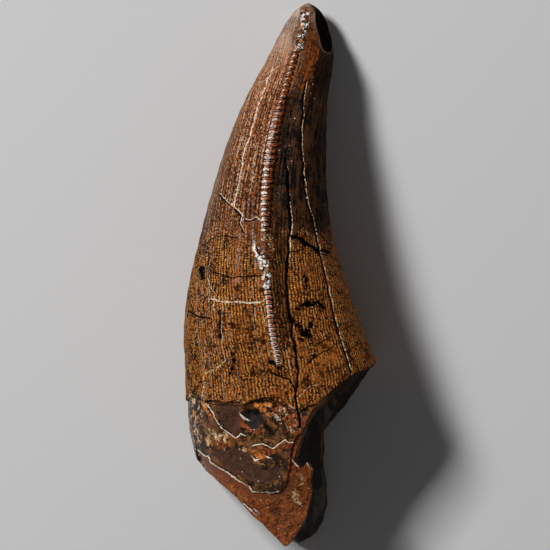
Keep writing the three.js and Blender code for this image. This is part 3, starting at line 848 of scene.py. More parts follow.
# %% Stray crumbs and the measures
only(tooth)
bpy.ops.object.mode_set(mode="EDIT")
bpy.ops.mesh.select_mode(type="VERT")
bpy.ops.mesh.select_all(action="DESELECT")
bpy.ops.object.mode_set(mode="OBJECT")
tooth.data.vertices[int(places(tooth)[:, 1].argmax())].select = True
bpy.ops.object.mode_set(mode="EDIT")
bpy.ops.mesh.select_linked()
bpy.ops.mesh.select_all(action="INVERT")
bpy.ops.mesh.delete(type="VERT")
bpy.ops.object.mode_set(mode="OBJECT")
rows = places(tooth)
held = np.clip(rows, np.array(cad_low) * 1000 - SHIFT, np.array(cad_high) * 1000 - SHIFT)
put(tooth, held)
print(len(tooth.data.polygons), "faces stay;", int(np.sum(np.any(held != rows, axis=1))), "vertices moved")

# %% [markdown]
# ## What the paint needs to know
#
# Each vertex now carries a few numbers for the shader: where it lies in the grain of the enamel,
# how far it is from a crack or a ledge, how deep it lies in each stain, and how proud it stands.
# They are worked out from its place, so the cut and joined mesh needs no care for its vertex order.
# A stain is given as a distance and not as a mask, and the shader adds noise to that distance: its
# edge can then be finer than the mesh.

# %% Stains
STAINS = {  # name: outlines, and (half width, line) bands
    "slate": ([[
        (0.3, 12.7), (2.5, 11.4), (4.6, 13.0), (6.6, 17.0), (7.2, 22.0), (7.6, 26.0), (6.4, 29.4),
        (4.9, 30.4), (2.5, 29.4), (0.6, 29.9), (-1.0, 30.4), (-1.2, 25.7), (-1.1, 21.2), (-0.6, 16.6),
    ]], []),
    # painted shade beside the front keel, between the denticles and the long crack
    "shade": ([[
        (-1.1, 30.0), (1.0, 30.0), (1.2, 43.6), (0.2, 44.6), (-0.7, 40.0), (-1.2, 36.0),
    ]], []),
    "pitch": ([], [
        (0.34, [(2.1, 39.8), (3.5, 39.3), (4.9, 39.1), (5.6, 39.8)]),
        (0.24, [(1.5, 41.3), (2.5, 42.5), (4.1, 43.7)]),
        (0.24, [(2.6, 43.9), (3.6, 42.6), (4.2, 41.4)]),
        (0.3, [(1.6, 30.6), (2.6, 30.8), (3.4, 31.5), (5.0, 32.5), (6.3, 32.4)]),
        (0.3, [(-10.2, 34.6), (-10.1, 35.8)]),
        (0.3, [(-7.9, 41.5), (-7.6, 42.8), (-7.8, 43.6)]),
        (0.3, [(-6.3, 45.6), (-6.0, 46.6), (-6.4, 48.0)]),
        (0.28, [(-1.6, 46.6), (0.0, 47.4)]),
        (0.28, [(3.2, 35.6), (3.4, 37.0)]),
        # this band is painted shadow under the enamel's raised edge
        (0.4, [(-4.4, 52.9), (-3.2, 53.2), (-1.6, 52.6)]),
        (0.3, [(-1.9, 55.0), (-1.1, 55.9)]),
    ]),
    "rust": ([], [
        (0.2, [(-8.9, 57.4), (-7.4, 57.0), (-6.5, 56.4)]),
        (0.16, [(-8.0, 58.0), (-6.6, 57.4), (-5.3, 56.6)]),
        (0.3, [
            (-2.5, 58.0), (-1.1, 58.4), (0.0, 57.9), (0.9, 57.4), (1.6, 57.8), (2.1, 56.2), (3.2, 54.0),
        ]),
        (0.28, [(-5.2, 54.0), (-4.9, 54.9), (-4.1, 55.5), (-2.8, 55.8)]),
        (0.3, [(2.0, 57.6), (1.5, 60.0), (1.2, 62.2)]),
        (0.18, [(-3.4, 59.7), (-2.4, 59.6), (-2.0, 58.9)]),
        (0.2, [(0.5, 62.9), (1.0, 61.7), (1.25, 59.5)]),
    ]),
    "cream": ([], [
        (0.2, [(-9.2, 55.6), (-9.3, 57.8)]),
        (0.4, [(-8.7, 56.2), (-7.6, 56.7), (-7.3, 56.2)]),
        (0.35, [(1.9, 63.7), (2.1, 64.8)]),
        (0.16, [(-5.1, 58.0), (-4.7, 58.2)]),
        (0.22, [(2.8, 61.0), (2.9, 62.5)]),
        (0.25, [(-11.7, 51.3), (-11.2, 51.8)]),
        (0.12, [(-10.7, 51.9), (-10.5, 53.4)]),
        (0.12, [(-10.9, 54.0), (-11.2, 55.2)]),
        (0.3, [(0.2, 52.8), (0.4, 53.3)]),
        (0.12, [(-3.0, 59.9), (-2.1, 60.0)]),
    ]),
    "amber": ([[  # orange mineral by the wear facet, and grains of it on the root
        (2.6, 2.4), (4.2, 2.8), (5.1, 5.4), (4.5, 8.4), (3.6, 11.4), (2.7, 11.6), (3.0, 8.0), (2.8, 5.0),
    ]], [
        (0.3, [(-3.2, 52.3), (-3.1, 52.4)]),
        (0.22, [(-2.5, 52.25), (-2.4, 52.3)]),
        (0.25, [(-1.9, 52.3), (-1.3, 52.3)]),
        (0.3, [(-2.5, 52.9), (-2.1, 53.0)]),
        (0.2, [(-1.7, 53.5), (-1.6, 53.6)]),
        (0.5, [(-3.2, 58.6), (-2.5, 59.0)]),
        (0.2, [(-10.0, 52.1), (-9.7, 52.9), (-9.2, 53.6)]),
        (0.12, [(-11.3, 53.0), (-10.8, 54.6)]),
    ]),
    "glass": ([], [  # enamel crushed to glassy crumbs
        (0.55, [(3.2, 1.4), (3.05, 3.0), (2.75, 4.4), (2.4, 5.7)]),
        (0.36, [(-3.3, 31.5), (-3.0, 32.4), (-2.5, 33.6), (-2.0, 34.8), (-1.8, 36.6)]),
        (0.22, [(-2.6, 30.9), (-1.5, 30.4), (-1.2, 31.4), (-1.1, 33.0)]),
        (0.55, [(-2.1, 34.0), (-1.85, 35.4), (-1.7, 36.9)]),
    ]),
    "ochre": ([[
        (-6.0, 56.4), (-4.6, 55.2), (-2.0, 55.6), (0.4, 55.2), (0.6, 56.8), (-1.0, 57.6), (-4.2, 57.2),
    ], [
        (-4.4, 61.0), (-0.6, 60.8), (0.8, 61.8), (-0.4, 63.2), (-3.8, 63.2),
    ]], []),
    "gilt": ([[  # where the weave is brightest
        (-5.8, 33.6), (-2.8, 34.4), (-2.4, 37.6), (-3.2, 41.2), (-6.2, 41.6), (-7.8, 38.8),
    ], [
        (2.4, 33.6), (4.6, 33.8), (5.4, 38.4), (2.6, 38.6),
    ], [
        (-10.0, 49.8), (-3.0, 48.6), (-1.6, 51.0), (-9.6, 51.6),
    ]], []),
    "violet": ([[  # smooth, faintly purple brown on the root
        (-8.4, 52.4), (-5.6, 52.4), (-5.2, 54.6), (-5.3, 56.2), (-6.6, 56.6), (-7.6, 54.6),
    ], [
        (-8.8, 58.2), (-5.0, 57.8), (-2.6, 60.6), (-0.2, 60.4), (0.4, 62.0), (-3.2, 62.6), (-7.0, 60.8),
    ]], []),
}


def stain_depth(flat, outlines, bands):
    """How far inside a stain each place is, in millimetres; negative outside it."""
    depth = np.full(len(flat), -9.0)
    for outline in outlines:
        depth = np.maximum(depth, to_outline(flat, outline))
    for half, line in bands:
        depth = np.maximum(depth, half - np.abs(to_line(flat, line)))
    return depth


print(len(STAINS), "kinds of stain")

# %% Numbers on the vertices
def give(name, values):
    values = np.asarray(values, np.float32)
    kind, field = ("FLOAT_VECTOR", "vector") if values.ndim == 2 else ("FLOAT", "value")
    attribute = tooth.data.attributes.new(name, kind, "POINT")
    attribute.data.foreach_set(field, values.ravel())


GRAIN_WIDTH = 12.5 # half the width of the grain's sheet, at the tooth's widest
GRAIN_TAPER = 0.7 # 1 keeps every thread up to the tip, 0 keeps their spacing
THREAD = 0.46 # from thread to thread
band_length = along([(0, 1.2), (22, 1.0), (31, 0.39), (74, 0.39)])

rows = places(tooth)
down = TIP_Y - rows[:, 1]
section, facing, worn = on_skin(rows)
front = facing > 0
flat = wobbled(rows)
edge_here = np.where(front, front_edge(down), back_edge(down))
width = half_width(down) + 1e-6
lean = np.arcsin(np.clip((section[:, 0] - centre_x(down)) / width, -1, 1))
edge_lean = np.arcsin(np.clip((back_edge(down) - centre_x(down)) / width, -0.9, 0.9))
quarter = math.pi / 2
left_back = -quarter - quarter * (lean + quarter) / (edge_lean + quarter)
right_back = quarter + quarter * (quarter - lean) / (quarter - edge_lean)
turn = np.where(front, lean, np.where(lean < edge_lean, left_back, right_back))
around = GRAIN_WIDTH * turn * (width / GRAIN_WIDTH) ** GRAIN_TAPER
bands_down = np.interp(down, reach, np.cumsum((reach[1] - reach[0]) / band_length(reach)))
give("grain", np.column_stack([around, down, np.zeros(len(rows))]))
give("weave", np.column_stack([around / THREAD, bands_down, np.zeros(len(rows))]))

centre = np.column_stack([centre_x(down), rows[:, 1], centre_z(down)])
give("proud", np.linalg.norm(rows - centre, axis=1) - np.linalg.norm(section - centre, axis=1))
give("beside", rows[:, 0] - edge_here)
give("from_left", section[:, 0] - centre_x(down) + width)
give("facet", np.where(front, worn, -1))
give("crushed", front * crushed(down))
phase = np.zeros(len(rows))
for side, stand_at in ((front, front_stand), (~front, back_stand)):
    number = np.interp(down, stand_at, np.arange(len(stand_at)))
    phase = np.where(side, number - np.round(number), phase)
give("phase", phase)

for kind in KINDS:
    across, gap, _ = nearest_crack(rows, front, kind)
    give(kind + "_across", np.clip(across, -9, 9))
    give(kind + "_near", 1 - ease(0.25, 0.5, gap))
found = layers(rows)
give("root", np.clip(np.where(front, found.pop("root"), down - BACK_ROOT), -3, 3))
for name, distance in found.items():
    give(name, np.clip(np.where(front, distance, -3), -3, 3))
for name, (outlines, listed) in STAINS.items():
    give(name, np.where(front, np.clip(stain_depth(flat, outlines, listed), -3, 3), -3))
print("each vertex carries", len(tooth.data.attributes), "attributes")

tooth.data.calc_loop_triangles()
print("the tooth has", len(tooth.data.loop_triangles), "triangles")

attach(tooth, "root")
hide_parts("tooth")

# %% [markdown]
# ## Paint
#
# A shader is a sum, so it is written as one. `Socket` wraps an output of a node, and its operators
# add the Math nodes: `1 - mask` is a node as well as a sentence. Colours are mixed by a Mix node,
# because a Math node would turn them grey.

# %% Shader maths in words
class Socket:
    """An output of a node in the tree that is being painted."""

    tree = None

    def __init__(self, output):
        self.output = output

    @classmethod
    def node(cls, kind, settings=None, sockets=None, output=0):
        made = cls.tree.nodes.new(kind)
        for name, value in (settings or {}).items():
            if name == "stops":
                ramp = made.color_ramp
                while len(ramp.elements) < len(value):
                    ramp.elements.new(0.5)
                for element, (place, colour) in zip(ramp.elements, value):
                    element.position, element.color = place, colour
            else:
                setattr(made, name, value)
        for name, value in (sockets or {}).items():
            if isinstance(value, Socket):
                cls.tree.links.new(value.output, made.inputs[name])
            else:
                made.inputs[name].default_value = value
        return cls(made.outputs[output])

    def maths(self, operation, *others, first=None):
        values = ([first] if first is not None else []) + [self, *others]
        return Socket.node("ShaderNodeMath", {"operation": operation}, dict(enumerate(values)))

    def __add__(self, other):
        return self.maths("ADD", other)

    __radd__ = __add__

    def __mul__(self, other):
        return self.maths("MULTIPLY", other)

    __rmul__ = __mul__

    def __sub__(self, other):
        return self.maths("SUBTRACT", other)

    def __rsub__(self, other):
        return self.maths("SUBTRACT", first=other)

    def __truediv__(self, other):
        return self.maths("DIVIDE", other)

    def __abs__(self):
        return self.maths("ABSOLUTE")

    def part(self, axis):
        return Socket.node("ShaderNodeSeparateXYZ", {}, {0: self}, output=axis)

    def above(self, low, high):
        """0 below low, 1 above high, and a smooth rise between."""
        settings = {"interpolation_type": "SMOOTHSTEP"}
        sockets = {"Value": self, "From Min": low, "From Max": high}
        return Socket.node("ShaderNodeMapRange", settings, sockets)

    def below(self, low, high):
        return 1 - self.above(low, high)


def attribute(name, output="Fac"):
    return Socket.node("ShaderNodeAttribute", {"attribute_name": name}, output=output)


def vector_maths(operation, *values):
    return Socket.node("ShaderNodeVectorMath", {"operation": operation}, dict(enumerate(values)))

# %% [markdown]
# A few patterns do most of the work. Noise gives clouds and streaks, depending on how it is
# stretched. Columns of beads on a drifting grid give the weave, and Voronoi cells the glassy crumbs.
# The line along which a noise has its middle value wanders like a hair crack, so a thin band round
# that value draws one.

# %% Patterns
def srgb(red, green, blue):
    """A colour as a paint chart gives it, 0 to 255, in the linear values that a shader needs."""
    shares = [value / 255 for value in (red, green, blue)]
    return tuple(v / 12.92 if v <= 0.04045 else ((v + 0.055) / 1.055) ** 2.4 for v in shares) + (1,)


def mix(under, over, share):
    return Socket.node(
        "ShaderNodeMix", {"data_type": "RGBA"}, {"Factor": share, 6: under, 7: over}, output=2
    )


def noise(place, sizes, detail=3.0, seed=0.0, output="Fac"):
    """Noise from 0 to 1 with lumps of about those sizes in millimetres."""
    at = vector_maths("MULTIPLY_ADD", place, tuple(1 / size for size in sizes), (seed,) * 3)
    return Socket.node("ShaderNodeTexNoise", {}, {"Vector": at, "Scale": 1.0, "Detail": detail}, output)


def drifted(place, size, reach, seed):
    """The place carried aside by slow noise, so that what is drawn on it wanders."""
    wander = noise(place, (size,) * 3, 2.0, seed, "Color")
    return vector_maths("MULTIPLY_ADD", wander, (2 * reach,) * 3, place)


def weave(place):
    """Columns of beads that pass each other at random: how far into its bead a place is, and a tone."""
    column = place.part("X").maths("FLOOR")
    beside_thread = abs(place.part("X").maths("FRACT") - 0.5)
    step = Socket.node("ShaderNodeTexWhiteNoise", {"noise_dimensions": "1D"}, {"W": column}, "Value")
    row = place.part("Y") + step
    beside_row = abs(row.maths("FRACT") - 0.5)
    number = column * 17 + row.maths("FLOOR")
    tone = Socket.node("ShaderNodeTexWhiteNoise", {"noise_dimensions": "1D"}, {"W": number}, "Value")
    return beside_thread.below(0.1, 0.44) * (1 - beside_row.above(0.2, 0.46) * 0.75), tone


def cells(place, looseness):
    """Distance to the border of a cell, and the cell's own random tone."""
    sockets = {"Vector": place, "Scale": 1.0, "Randomness": looseness}
    border = Socket.node("ShaderNodeTexVoronoi", {"feature": "DISTANCE_TO_EDGE"}, sockets)
    colour = Socket.node("ShaderNodeTexVoronoi", {}, sockets, "Color")
    return border, Socket.node("ShaderNodeSeparateColor", {}, {0: colour})


def hair(place, size, thin, seed):
    """1 along a thin line that wanders with noise of that size."""
    return abs(noise(place, (size,) * 3, 3.0, seed) - 0.5).below(thin / size * 0.1, thin / size * 0.3)


def inside(name, *frays):
    """1 inside a stain. Each fray, a noise and how far it reaches, roughens the edge."""
    depth = attribute(name)
    for pattern, amount in frays:
        depth = depth + (pattern - 0.5) * (2 * amount)
    return depth.above(-0.1, 0.12)


def start_paint(finish):
    finish.use_nodes = True
    Socket.tree = finish.node_tree
    finish.node_tree.nodes.clear()
    coordinates = Socket.node("ShaderNodeTexCoord", output="Object")
    return vector_maths("MULTIPLY", coordinates, (1000, 1000, 1000))


def nodes_so_far(step):
    print("with", step, "the shader has", len(Socket.tree.nodes), "nodes")


def end_paint(finish, colour, roughness, relief, coat):
    """The shader itself. The relief is in millimetres."""
    bump = Socket.node("ShaderNodeBump", {}, {"Height": relief, "Strength": 1.0, "Distance": 0.001})
    sockets = {
        "Base Color": colour, "Roughness": roughness, "Normal": bump, "IOR": 1.5,
        "Specular IOR Level": 0.0, "Coat Weight": coat, "Coat Roughness": 0.2,
    }
    surface = Socket.node("ShaderNodeBsdfPrincipled", {}, sockets)
    output = Socket.tree.nodes.new("ShaderNodeOutputMaterial")
    Socket.tree.links.new(surface.output, output.inputs["Surface"])
    print(finish.name, "has", len(finish.node_tree.nodes), "nodes")

# %% [markdown]
# ### Enamel
#
# The ground colour changes slowly from pale tan at the tip to golden brown at the root. On it lie
# clouds, streaks along the grain and the weave: raised beads, golden partly as painted highlight, in
# grooves that are dark partly as painted shade. The lower left side is painted darker and the lower
# right side brighter, as painted shade and painted light, and a grey-tan painted reflection runs
# along part of the left edge.
# An image could hold all this, but a procedural pattern stays sharp from any distance. Towards the
# tip the weave fades into long, faint beads, and there the streaks make the grain.

# %% Enamel: patterns
space = start_paint(finishes[SKIN])
grain = attribute("grain", "Vector")
length_down = grain.part("Y")
beside = attribute("beside")
cloud = noise(space, (5, 7, 5), 4.0, 1.7)
patch = noise(space, (1.5, 1.9, 1.5), 5.0, 5.1)
grit = noise(space, (0.45,) * 3, 3.0, 9.4)
dust = noise(space, (0.2,) * 3, 2.0, 2.9)
speck = grit * 0.55 + dust * 0.45
streak = noise(grain, (0.45, 8, 1), 5.0)
hairline = noise(grain, (0.26, 4.2, 1), 1.0, 7.3)
beading = noise(grain, (0.24, 0.3, 1), 1.0, 5.7)
thread_line = noise(grain, (0.3, 40, 1), 1.0, 3.3)

woven_place = drifted(drifted(attribute("weave", "Vector"), 6, 0.8, 3.1), 1.3, 0.34, 8.2)
bead, tone = weave(woven_place)
lane = noise(woven_place, (1.1, 4.5, 1), 3.0, 4.9)
lower_crown = length_down.above(26, 34.5)
golden = (cloud * 0.3 + patch * 0.7).above(0.4, 0.56)
faded = noise(space, (2.6, 3.4, 2.6), 4.0, 3.6).above(0.47, 0.6) * 0.45
woven = (0.1 + 0.9 * lower_crown) * (1 - faded)

nodes_so_far("the patterns")

# %% Enamel: ground and streaks
enamel = Socket.node(
    "ShaderNodeValToRGB",
    {"stops": [
        (0.0, srgb(224, 204, 190)), (0.05, srgb(212, 182, 160)), (0.12, srgb(180, 116, 76)),
        (0.24, srgb(132, 74, 42)), (0.34, srgb(98, 56, 35)), (0.45, srgb(160, 92, 48)),
        (0.66, srgb(204, 116, 50)), (1.0, srgb(150, 84, 40)),
    ]},
    {"Fac": length_down / ROOT_LENGTH},
)
from_left = attribute("from_left")
upper_crown = length_down.above(5, 10) * (1 - lower_crown)
# Painted shade: the lower crown is painted darker towards its left edge.
enamel = mix(enamel, srgb(60, 34, 18), from_left.below(0.5, 8) * length_down.above(24, 34) * 0.8)
# Painted light: the lower crown right of the front edge is painted brighter.
painted_light_right = beside.above(1, 7) * (0.5 * lower_crown + 0.18 * length_down.above(36, 42))
enamel = mix(enamel, srgb(236, 142, 70), painted_light_right)
enamel = mix(enamel, srgb(84, 44, 20), cloud.below(0.36, 0.5) * 0.5)
enamel = mix(enamel, srgb(58, 33, 25), streak.above(0.5, 0.6) * (0.4 + 0.45 * upper_crown))
enamel = mix(enamel, srgb(34, 20, 16), hairline.below(0.42, 0.46) * (0.3 + 0.55 * upper_crown))
enamel = mix(enamel, srgb(216, 126, 66), beading.above(0.55, 0.62) * (0.2 + 0.3 * upper_crown))
enamel = mix(enamel, srgb(30, 18, 13), beading.below(0.38, 0.45) * (0.2 + 0.35 * upper_crown))
# Pale beads along the streaks: partly pale enamel, partly painted highlights on the ridges.
pale_beads_and_glints = hairline.above(0.57, 0.62) * beading.above(0.46, 0.54) * upper_crown
enamel = mix(enamel, srgb(232, 196, 164), pale_beads_and_glints * 0.62)
nodes_so_far("the ground")

# %% Enamel: weave and mottling
# The dark grooves between the beads are partly painted shade, their gold partly painted highlight.
enamel = mix(enamel, srgb(42, 26, 17), bead.below(0.1, 0.65) * woven * (0.62 + 0.3 * golden))
gilt = inside("gilt", (patch, 1.2), (grit, 0.6))
gilded = (lane * 0.7 + golden * 0.2 + tone * 0.22 + beading * 0.35 + gilt * 0.16).above(0.55, 0.76)
gold = mix(srgb(240, 130, 48), srgb(255, 196, 104), beading.above(0.46, 0.6))
enamel = mix(enamel, gold, bead.above(0.15, 0.8) * gilded * woven)
gloomy = (lane * 0.7 + tone * 0.25 + beading * 0.5).below(0.56, 0.7)
enamel = mix(enamel, srgb(36, 22, 14), gloomy * woven * 0.85)
mottle = (patch * 0.45 + speck * 0.55) + 0.02 * lower_crown
enamel = mix(enamel, srgb(40, 23, 13), mottle.below(0.44, 0.52) * lower_crown * (0.45 + 0.6 * faded))
enamel = mix(enamel, srgb(224, 132, 60), (grit * 0.5 + beading * 0.5).above(0.55, 0.63) * lower_crown * 0.4)
middle = length_down.above(25, 29) * length_down.below(33, 37)
enamel = mix(enamel, srgb(34, 20, 12), middle * 0.13)
voids = patch.below(0.38, 0.45) * speck.below(0.48, 0.55) * (0.25 + 0.35 * lower_crown)
enamel = mix(enamel, srgb(24, 14, 8), voids)
thread = thread_line.above(0.6, 0.63) * beside.below(-0.9, -0.6)
enamel = mix(enamel, srgb(28, 18, 14), thread * dust.below(0.44, 0.5) * 0.7)
enamel = mix(enamel, srgb(222, 198, 176), thread * dust.above(0.48, 0.56) * (0.75 - 0.25 * lower_crown))
# Painted reflection: a grey-tan sheen along the left edge of the middle crown.
left_rim_sheen = (from_left + patch * 2 - 1).below(0.1, 1.3)
left_rim_sheen = left_rim_sheen * length_down.above(12, 20) * length_down.below(24, 32)
enamel = mix(enamel, srgb(128, 102, 80), left_rim_sheen * streak.above(0.34, 0.5) * 0.7)
nodes_so_far("the weave")

# %% [markdown]
# ### Stains, crumbs and denticles
#
# Slate-dark stain lies beside the front edge, black specks of pitch are spread over the golden
# part, and the mineral is orange near the tip. Painted shade darkens the upper crown right of the
# front edge, a band beside the front keel and the wear facet. Where the enamel is crushed it has
# turned to glassy crumbs. The crests of the denticles are worn. Near the tip a painted highlight
# shines as a slanted glint on each, farther down on their whole left half, which is partly pale
# worn enamel; below the crushed stretch each crest is worn to a ring of pale enamel round a red
# core. The notches between the denticles are painted dark as shade.

# %% Enamel: stains and painted shade
# Painted shade: the upper crown right of the front edge, and the tip beside it, are painted darker.
painted_shade_right = beside.above(0.3, 1.6) * length_down.below(22, 33)
enamel = mix(enamel, srgb(44, 28, 18), painted_shade_right * (0.55 + 0.35 * grit))
enamel = mix(enamel, srgb(22, 14, 10), beside.above(0.9, 3.0) * length_down.below(10, 14) * 0.74)
slate = inside("slate", (cloud, 1.4), (patch, 1.8), (streak, 0.8))
browned = (patch * 0.4 + hairline * 0.3 + speck * 0.3).above(0.46, 0.56)
slate_colour = mix(srgb(22, 19, 17), srgb(80, 50, 30), browned)
greyed = (streak * 0.4 + beading * 0.6).above(0.56, 0.64) * beside.below(2, 3)
slate_colour = mix(slate_colour, srgb(84, 92, 94), greyed * 0.7)
enamel = mix(enamel, slate_colour, slate * 0.96)
ribs = abs(attribute("phase")).below(0.1, 0.3) * beside.above(0.4, 0.7) * beside.below(0.9, 1.7)
enamel = mix(enamel, srgb(92, 54, 30), ribs * slate * speck.above(0.4, 0.52) * 0.7)
# Painted shade in the band beside the front keel.
enamel = mix(enamel, srgb(22, 15, 10), inside("shade", (patch, 1.0), (grit, 0.5)) * 0.66)
squiggle = hair(drifted(space, 1.2, 0.4, 4.4), 2.6, 0.12, 6.1) * lower_crown
squiggle = squiggle * patch.above(0.44, 0.56) * 0.7
enamel = mix(enamel, srgb(18, 11, 7), squiggle)
pitch_and_shadow = inside("pitch", (patch, 0.5), (grit, 0.6), (dust, 0.3))
enamel = mix(enamel, srgb(10, 8, 7), pitch_and_shadow)
flecked = inside("amber", (patch, 0.8), (grit, 0.8))
enamel = mix(enamel, srgb(112, 60, 28), flecked * 0.85)
enamel = mix(enamel, srgb(34, 22, 14), flecked * speck.below(0.44, 0.52) * 0.8)
enamel = mix(enamel, srgb(176, 92, 34), flecked * (grit * 0.4 + hairline * 0.6).above(0.5, 0.6) * 0.55)
facet = attribute("facet")
worn_flat = facet.above(-0.04, 0.02)
# The wear facet faces away from the key light; its near-black colour is painted shade.
enamel = mix(enamel, srgb(15, 12, 8), worn_flat * 0.97)
facet_rim = abs(facet + 0.03).below(0.02, 0.06)
enamel = mix(enamel, srgb(150, 124, 96), facet_rim * dust.above(0.4, 0.5) * 0.5)
nodes_so_far("the stains")

# %% Enamel: denticles
TOP_PITCH = 0.76 # millimetres from one denticle to the next
proud = attribute("proud")
fall = attribute("phase") * TOP_PITCH
on_edge = proud.above(0.24, 0.44) * abs(beside).below(0.9, 1.3) * length_down.below(49, 50)
# Painted shade: the notches between the denticles are painted near black.
shaded_furrow = abs(fall).above(0.25, 0.32) * abs(beside).below(0.8, 1.05) * length_down.above(5, 7)
shaded_furrow = shaded_furrow * length_down.below(48, 49) * (1 - attribute("crushed"))
left = beside + 0.2 + 0.12 * length_down.above(12, 17)
right = beside - 0.4
# Painted highlights on the crests: a slanted glint near the tip, the left half farther down, there partly
# pale worn enamel. The ring below the crushed stretch is worn enamel.
slanted_glint = abs(left * 0.7 + fall * 0.7).below(0.05, 0.11) * abs(left * 0.7 - fall * 0.7).below(0.12, 0.22)
left_oval = (left * left / 0.2 + fall * fall / 0.075).maths("SQRT")
right_oval = (right * right / 0.2 + fall * fall / 0.06).maths("SQRT")
blunt = left_oval.below(0.75, 1.0) * (speck - 0.1 * left).above(0.46, 0.505)
radius = (beside * beside / 0.3 + fall * fall / 0.14).maths("SQRT")
ring = radius.above(0.45, 0.6) * radius.below(0.85, 1.0) * (speck - 0.2 * beside).above(0.42, 0.49)
near_tip = length_down.below(13, 17)
ringed = length_down.above(35, 37)
pale_crest_and_glint = slanted_glint * near_tip + blunt * (1 - near_tip) * (1 - ringed) + ring * ringed
brown = mix(srgb(190, 102, 50), srgb(70, 40, 24), speck.above(0.46, 0.54))
# Painted shade: round the ovals and round the rings the chisels are painted near black.
chisel = mix(srgb(20, 13, 9), brown, left_oval.below(0.95, 1.3))
chisel = mix(chisel, brown, right_oval.below(0.7, 1.1))
chisel = mix(chisel, srgb(14, 9, 6), ringed * radius.above(0.9, 1.1))
chisel = mix(chisel, srgb(184, 74, 28), ringed * radius.below(0.42, 0.6) * length_down.below(42, 43))
chisel = mix(chisel, srgb(255, 250, 242), pale_crest_and_glint)
enamel = mix(enamel, chisel, on_edge)
enamel = mix(enamel, srgb(18, 11, 7), shaded_furrow * 0.9)
nodes_so_far("the denticles")

# %% Enamel: crumbs
crumb_place = drifted(space, 0.5, 0.2, 2.7)
crumb_edge, crumb_tone = cells(vector_maths("MULTIPLY", crumb_place, (1.8, 1.8, 1.8)), 1.0)
crumb = crumb_edge.above(0.02, 0.1)
clear = crumb_tone * 0.7 + dust * 0.6 - 0.15 * length_down.below(2.5, 4)
crumb_colour = mix(srgb(86, 46, 24), srgb(228, 150, 84), clear.above(0.42, 0.56))
glassy = mix(srgb(255, 208, 138), srgb(255, 251, 242), crumb_tone.above(0.3, 0.6))
crumb_colour = mix(crumb_colour, glassy, clear.above(0.56, 0.64))
crumb_colour = mix(crumb_colour, srgb(20, 13, 9), crumb.below(0.1, 0.7))
shattered = inside("glass", (grit, 0.5), (dust, 0.3))
bruised = attribute("crushed") * abs(beside + (patch - 0.5) * 1.2).below(0.8, 1.2)
enamel = mix(enamel, mix(srgb(134, 74, 36), srgb(34, 20, 13), speck.above(0.46, 0.54)), bruised * 0.8)
enamel = mix(enamel, crumb_colour, shattered)
nodes_so_far("the crumbs")

# %% [markdown]
# ### Root
#
# The root is smoother and darker than the crown, as if wet. Rust follows the ledges, the pocket is
# slate grey, the left side is dark with pale flakes, and below the last ledge the bare dentine is
# red-brown and grainy. Every part could have a material of its own, but then each border would
# follow the faces: as masks in one shader, the borders are finer than the mesh.

# %% Root
root = attribute("root")
lobe = attribute("lobe")
fine_patch = noise(space, (0.8, 1.0, 0.8), 5.0, 14.2)
root_brown = mix(srgb(52, 38, 27), srgb(116, 76, 46), (patch * 0.5 + fine_patch * 0.5).above(0.44, 0.55))
root_brown = mix(root_brown, srgb(184, 116, 58), (fine_patch * 0.4 + speck * 0.6).above(0.53, 0.6) * 0.75)
root_brown = mix(root_brown, srgb(28, 23, 18), (grit * 0.6 + fine_patch * 0.4).below(0.38, 0.46) * 0.75)
ochre = inside("ochre", (patch, 1.6), (grit, 0.8))
root_brown = mix(root_brown, srgb(140, 100, 52), ochre * speck.above(0.48, 0.58) * 0.6)
root_brown = mix(root_brown, srgb(44, 35, 22), ochre * speck.below(0.42, 0.5) * 0.6)
violet = inside("violet", (patch, 0.6), (grit, 0.3))
violet_brown = mix(srgb(98, 64, 52), srgb(56, 42, 34), (fine_patch * 0.5 + speck * 0.5).above(0.45, 0.55))
root_brown = mix(root_brown, violet_brown, violet * 0.85)
grey_side = beside.below(-11.4, -9.6)
dull = (streak * 0.5 + fine_patch * 0.5).above(0.46, 0.5)
root_brown = mix(root_brown, srgb(22, 17, 13), grey_side * dull * 0.9)
flaked = fine_patch.above(0.5, 0.56) * speck.above(0.49, 0.54)
root_brown = mix(root_brown, srgb(238, 190, 146), grey_side * flaked * 0.95)
in_pocket = (attribute("pocket") + (grit - 0.5) * 0.4).above(-0.1, 0.2)
root_brown = mix(root_brown, srgb(40, 42, 44), in_pocket * 0.85)
dentine = mix(srgb(152, 84, 44), srgb(84, 46, 28), (fine_patch * 0.5 + grit * 0.5).above(0.46, 0.56))
dentine = mix(dentine, srgb(214, 122, 62), speck.above(0.53, 0.61) * 0.75)
dentine = mix(dentine, srgb(30, 18, 12), speck.below(0.38, 0.45) * 0.75)
lobe_edge = lobe + (grit - 0.5) * 0.15
smooth_rim = lobe_edge.above(0, 0.06) * (lobe + (fine_patch - 0.5) * 0.8).below(0.5, 0.9)
root_brown = mix(root_brown, dentine, lobe_edge.above(-0.03, 0.05))
root_brown = mix(root_brown, srgb(120, 66, 42), smooth_rim * 0.8)
crumbled = inside("crumble", (patch, 1.2), (grit, 0.8))
crumbs = mix(srgb(40, 26, 18), srgb(208, 122, 68), crumb * clear.above(0.42, 0.6))
crumbs = mix(crumbs, srgb(240, 210, 184), crumb * clear.above(0.82, 0.92))
root_brown = mix(root_brown, crumbs, crumbled * 0.7)
nodes_so_far("the root")

# %% Root and enamel together
root_edge = root + (fine_patch - 0.5) * 0.8 + (grit - 0.5) * 0.4
on_root = root_edge.above(-0.03, 0.05)
colour = mix(enamel, root_brown, on_root)
